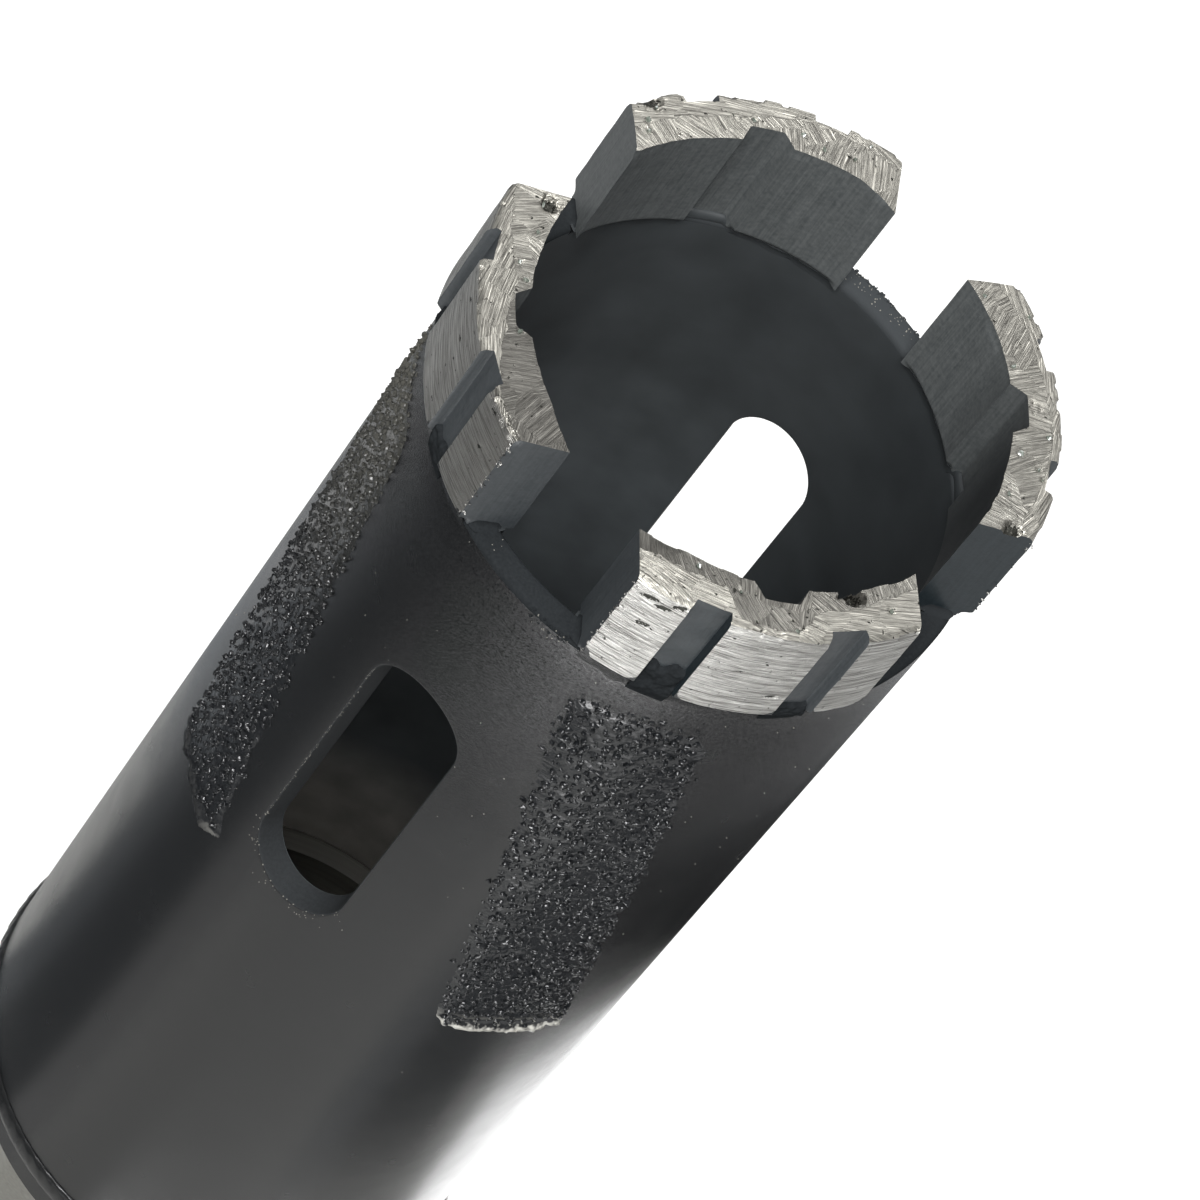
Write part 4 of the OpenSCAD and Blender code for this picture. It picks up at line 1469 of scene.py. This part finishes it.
def make_specks(tube):
    """Grains of dust that lie on the outside of the tube, thickest near the rim."""
    base = mesh_piece("speck_base", tube.data.copy())
    points = np.zeros(len(base.data.vertices) * 3)
    base.data.vertices.foreach_get("co", points)
    points = points.reshape(-1, 3)
    below = (RIM_Z - points[:, 2]) / (RIM_Z - SHOULDER_Z)
    outside = np.hypot(points[:, 0], points[:, 1]) > TUBE_R - 0.01 * MM
    layer = base.data.attributes.new("scatter", "FLOAT", "POINT")
    density = np.where(outside, np.clip(1 - below, 0.1, 1) ** 3, 0)
    layer.data.foreach_set("value", density.astype(np.float32))
    area = FULL_TURN * TUBE_R * (RIM_Z - SHOULDER_Z)
    mesh = applied(base, grain_tree("dust_scatter", True, 5, True), {
        "Grain": 0.09 * MM,
        "Spacing": 0.3 * MM,
        "Density": 4 * settings().tube.speck_count / area,
        "Sink": 0.0,
        "Material": material(mineral_dust),
        "Seed": 5,
    })
    bpy.data.objects.remove(base)
    finish_piece(mesh_piece("dust_specks", mesh), "tube")


class CORE_BIT_OT_tube(bpy.types.Operator):
    """Make the coated tube and the dust on it"""

    bl_idname = "core_bit.tube"
    bl_label = "Tube"

    def execute(self, context):
        make_specks(make_tube())
        return {"FINISHED"}


class CORE_BIT_OT_segments(bpy.types.Operator):
    """Make the cutting segments and the diamonds that show in them"""

    bl_idname = "core_bit.segments"
    bl_label = "Segments"

    def execute(self, context):
        make_diamonds([make_segment(number) for number in SEGMENTS])
        return {"FINISHED"}


class CORE_BIT_OT_seams(bpy.types.Operator):
    """Make the seams under the segments"""

    bl_idname = "core_bit.seams"
    bl_label = "Segment seams"

    def execute(self, context):
        for number in SEGMENTS:
            make_segment_seam(number)
            make_residue(number)
        make_crumbs()
        return {"FINISHED"}


class CORE_BIT_OT_grit(bpy.types.Operator):
    """Make the patches of grit"""

    bl_idname = "core_bit.grit"
    bl_label = "Grit patches"

    def execute(self, context):
        grades = (("coarse", 8), ("fine", 6))
        trees = [grain_tree(f"{grade}_scatter", True, detail, True) for grade, detail in grades]
        for number in SEGMENTS:
            make_grit_patch(number, trees)
        return {"FINISHED"}


class CORE_BIT_OT_hub(bpy.types.Operator):
    """Make the hub and its weld"""

    bl_idname = "core_bit.hub"
    bl_label = "Hub and weld"

    def execute(self, context):
        make_hub()
        make_hub_weld()
        return {"FINISHED"}


def pale_floor(tree, coords):
    """A matt pale floor that the camera and reflections see as near white, with the bit's shadow kept."""
    rays = add(tree, "LightPath").outputs
    seen = add(tree, "Math", rays["Is Camera Ray"], rays["Is Glossy Ray"], operation="MAXIMUM")
    seen_too = add(tree, "Math", seen, rays["Is Transmission Ray"], operation="MAXIMUM")
    matt = add(tree, "BsdfDiffuse", {"Color": settings().colours.floor})
    strength = add(tree, "Math", rays["Is Camera Ray"], 0.67, 0.03, operation="MULTIPLY_ADD")
    glow = add(tree, "Emission", {"Color": (1, 1, 1, 1), "Strength": strength})
    lit = add(tree, "AddShader", matt, glow)
    return add(tree, "MixShader", seen_too, matt, lit)


def compass(azimuth, elevation, distance):
    """The place at this distance, seen from the bit's axis under these angles in degrees."""
    flat = distance * math.cos(math.radians(elevation))
    return Vector((
        flat * math.cos(math.radians(azimuth)), flat * math.sin(math.radians(azimuth)),
        distance * math.sin(math.radians(elevation)),
    ))


def aimed(direction, roll=0.0):
    """A rotation that looks along a direction."""
    return Vector(direction).to_track_quat("-Z", "Y") @ Quaternion((0, 0, 1), roll)


def painted_reflection_glow(tree, coords, grey):
    """The even glow of a grey card, a little cool where it is dark: a painted reflection, since only
    reflections see the card.
    """
    cool = 0.06 if grey < 0.5 else 0
    tint = ((1 - cool) * grey, grey, (1 + cool) * grey, 1)
    return add(tree, "Emission", {"Color": tint, "Strength": 1.0})


def reflection_card(name, first, last, near, far, grey):
    """A glowing card by the bit that only reflections see: a painted reflection, dark ones to darken a
    side and bright ones as painted highlights.
    """
    new_material(name, painted_reflection_glow, grey)
    skin = Skin()
    angles = np.radians(np.linspace(first, last, 13))
    inner, outer = (skin.add(polar(reach * MM, angles, 1 * MM)) for reach in (near, far))
    skin.band(inner, outer, closed=False)
    flag = skin.build(name, [])
    flag.data.materials.append(bpy.data.materials[name])
    for ray in ("camera", "diffuse", "transmission", "volume_scatter", "shadow"):
        setattr(flag, f"visible_{ray}", False)


def soft_light(name, azimuth, elevation, distance, size, power):
    """A square lamp that shines on the bit's rim from this side."""
    lamp = bpy.data.lights.new(name, "AREA")
    lamp.shape = "SQUARE"
    lamp.size = size
    lamp.energy = power
    made = bpy.data.objects.new(name, lamp)
    bpy.context.scene.collection.objects.link(made)
    way = compass(azimuth, elevation, distance)
    made.location = Vector((0, 0, RIM_Z * 0.8)) + way
    made.rotation_mode = "QUATERNION"
    made.rotation_quaternion = aimed(-way)


# Cards around the bit, which glow only in reflections as painted reflections: degrees from +X, nearest
# and farthest reach in mm, and grey
REFLECTION_CARDS = (
    ("card_back_left_near", 136, 182, 50, 66, 0.4),
    ("card_back_left", 136, 149, 66, 99, 0.32),
    ("card_back_left_front", 149, 182, 66, 99, 0.68),
    ("card_left_near", 182, 201, 26, 66, 0.22),
    ("card_left", 182, 201, 66, 99, 0.45),
    ("card_left_front", 201, 232, 26, 99, 0.12),
    ("card_left_front_edge", 232, 246, 26, 99, 0.5),
    ("card_back_left_far", 136, 195, 99, 300, 0.3),
    ("card_left_far", 195, 262, 99, 300, 0.06),
    ("card_front", 246, 262, 76, 99, 0.3),
    ("card_front_foot", 275, 350, 20, 30, 3.5),
    ("card_front_right", 262, 310, 80, 116, 0.25),
    ("card_front_far", 262, 284, 116, 300, 1.8),
    ("card_front_glare", 286, 312, 160, 330, 15.5),
    ("card_front_right_far", 312, 326, 106, 300, 2.4),
    ("card_right_near", -38, -26, 44, 68, 0.36),
    ("card_right", -26, 4, 44, 98, 0.11),
    ("card_right_far", -26, 100, 98, 300, 0.9),
    ("card_back_right", 4, 100, 55, 85, 0.01),
    ("card_back_right_far", 4, 100, 85, 98, 0.22),
    ("card_white", 20, 100, 20, 49, 2.8),
)


class CORE_BIT_OT_stage(bpy.types.Operator):
    """Set the floor, the reflection cards, the lamps and the camera"""

    bl_idname = "core_bit.stage"
    bl_label = "Stage"

    def execute(self, context):
        place = settings().stage
        scene = context.scene
        half = 3.0
        corners = [(-half, -half, 0), (half, -half, 0), (half, half, 0), (-half, half, 0)]
        mesh = bpy.data.meshes.new("floor")
        mesh.from_pydata(corners, [], [(0, 1, 2, 3)])
        mesh.materials.append(material(pale_floor))
        mesh_piece("floor", mesh)
        for flag in REFLECTION_CARDS:
            reflection_card(*flag)

        world = bpy.data.worlds.new("studio")
        scene.world = world
        world.use_nodes = True
        sky = world.node_tree.nodes["Background"].inputs
        sky["Color"].default_value = (1, 1, 1, 1)
        sky["Strength"].default_value = 0.3
        soft_light("key", -80, 58, 0.8, 0.35, 8.0)
        soft_light("back_light", 102, 53, 0.9, 0.7, 3.6)

        camera = bpy.data.objects.new("camera", bpy.data.cameras.new("camera"))
        scene.collection.objects.link(camera)
        camera.data.sensor_width = 36
        camera.data.lens = place.lens
        camera.data.clip_start = 0.01
        way = compass(math.degrees(place.azimuth), math.degrees(place.elevation), place.distance)
        camera.location = Vector(place.aim) + way
        camera.rotation_mode = "QUATERNION"
        camera.rotation_quaternion = aimed(-way, place.roll)
        scene.camera = camera
        scene.view_settings.view_transform = "Standard"
        return {"FINISHED"}


class CORE_BIT_PT_panel(bpy.types.Panel):
    """The pieces of the core bit, each with its button"""

    bl_idname = "CORE_BIT_PT_panel"
    bl_label = "Core Bit"
    bl_space_type = "VIEW_3D"
    bl_region_type = "UI"
    bl_category = "Core Bit"

    def draw(self, context):
        for operator in OPERATORS:
            self.layout.operator(operator.bl_idname)


GROUPS = (
    CoreBitTubeSizes,
    CoreBitSegmentSizes,
    CoreBitWeldSizes,
    CoreBitGritSizes,
    CoreBitHubSizes,
    CoreBitColours,
    CoreBitStage,
    CoreBitSettings,
)
OPERATORS = (
    CORE_BIT_OT_tube,
    CORE_BIT_OT_segments,
    CORE_BIT_OT_seams,
    CORE_BIT_OT_grit,
    CORE_BIT_OT_hub,
    CORE_BIT_OT_stage,
)


def register():
    for item in GROUPS + OPERATORS + (CORE_BIT_PT_panel,):
        bpy.utils.register_class(item)
    bpy.types.Scene.core_bit = PointerProperty(type=CoreBitSettings)


def unregister():
    del bpy.types.Scene.core_bit
    for item in reversed(GROUPS + OPERATORS + (CORE_BIT_PT_panel,)):
        bpy.utils.unregister_class(item)


def main():
    register()
    bpy.ops.core_bit.stage()
    bpy.ops.core_bit.tube()
    bpy.ops.core_bit.segments()
    bpy.ops.core_bit.seams()
    bpy.ops.core_bit.grit()
    bpy.ops.core_bit.hub()


if __name__ == "__main__":
    main()
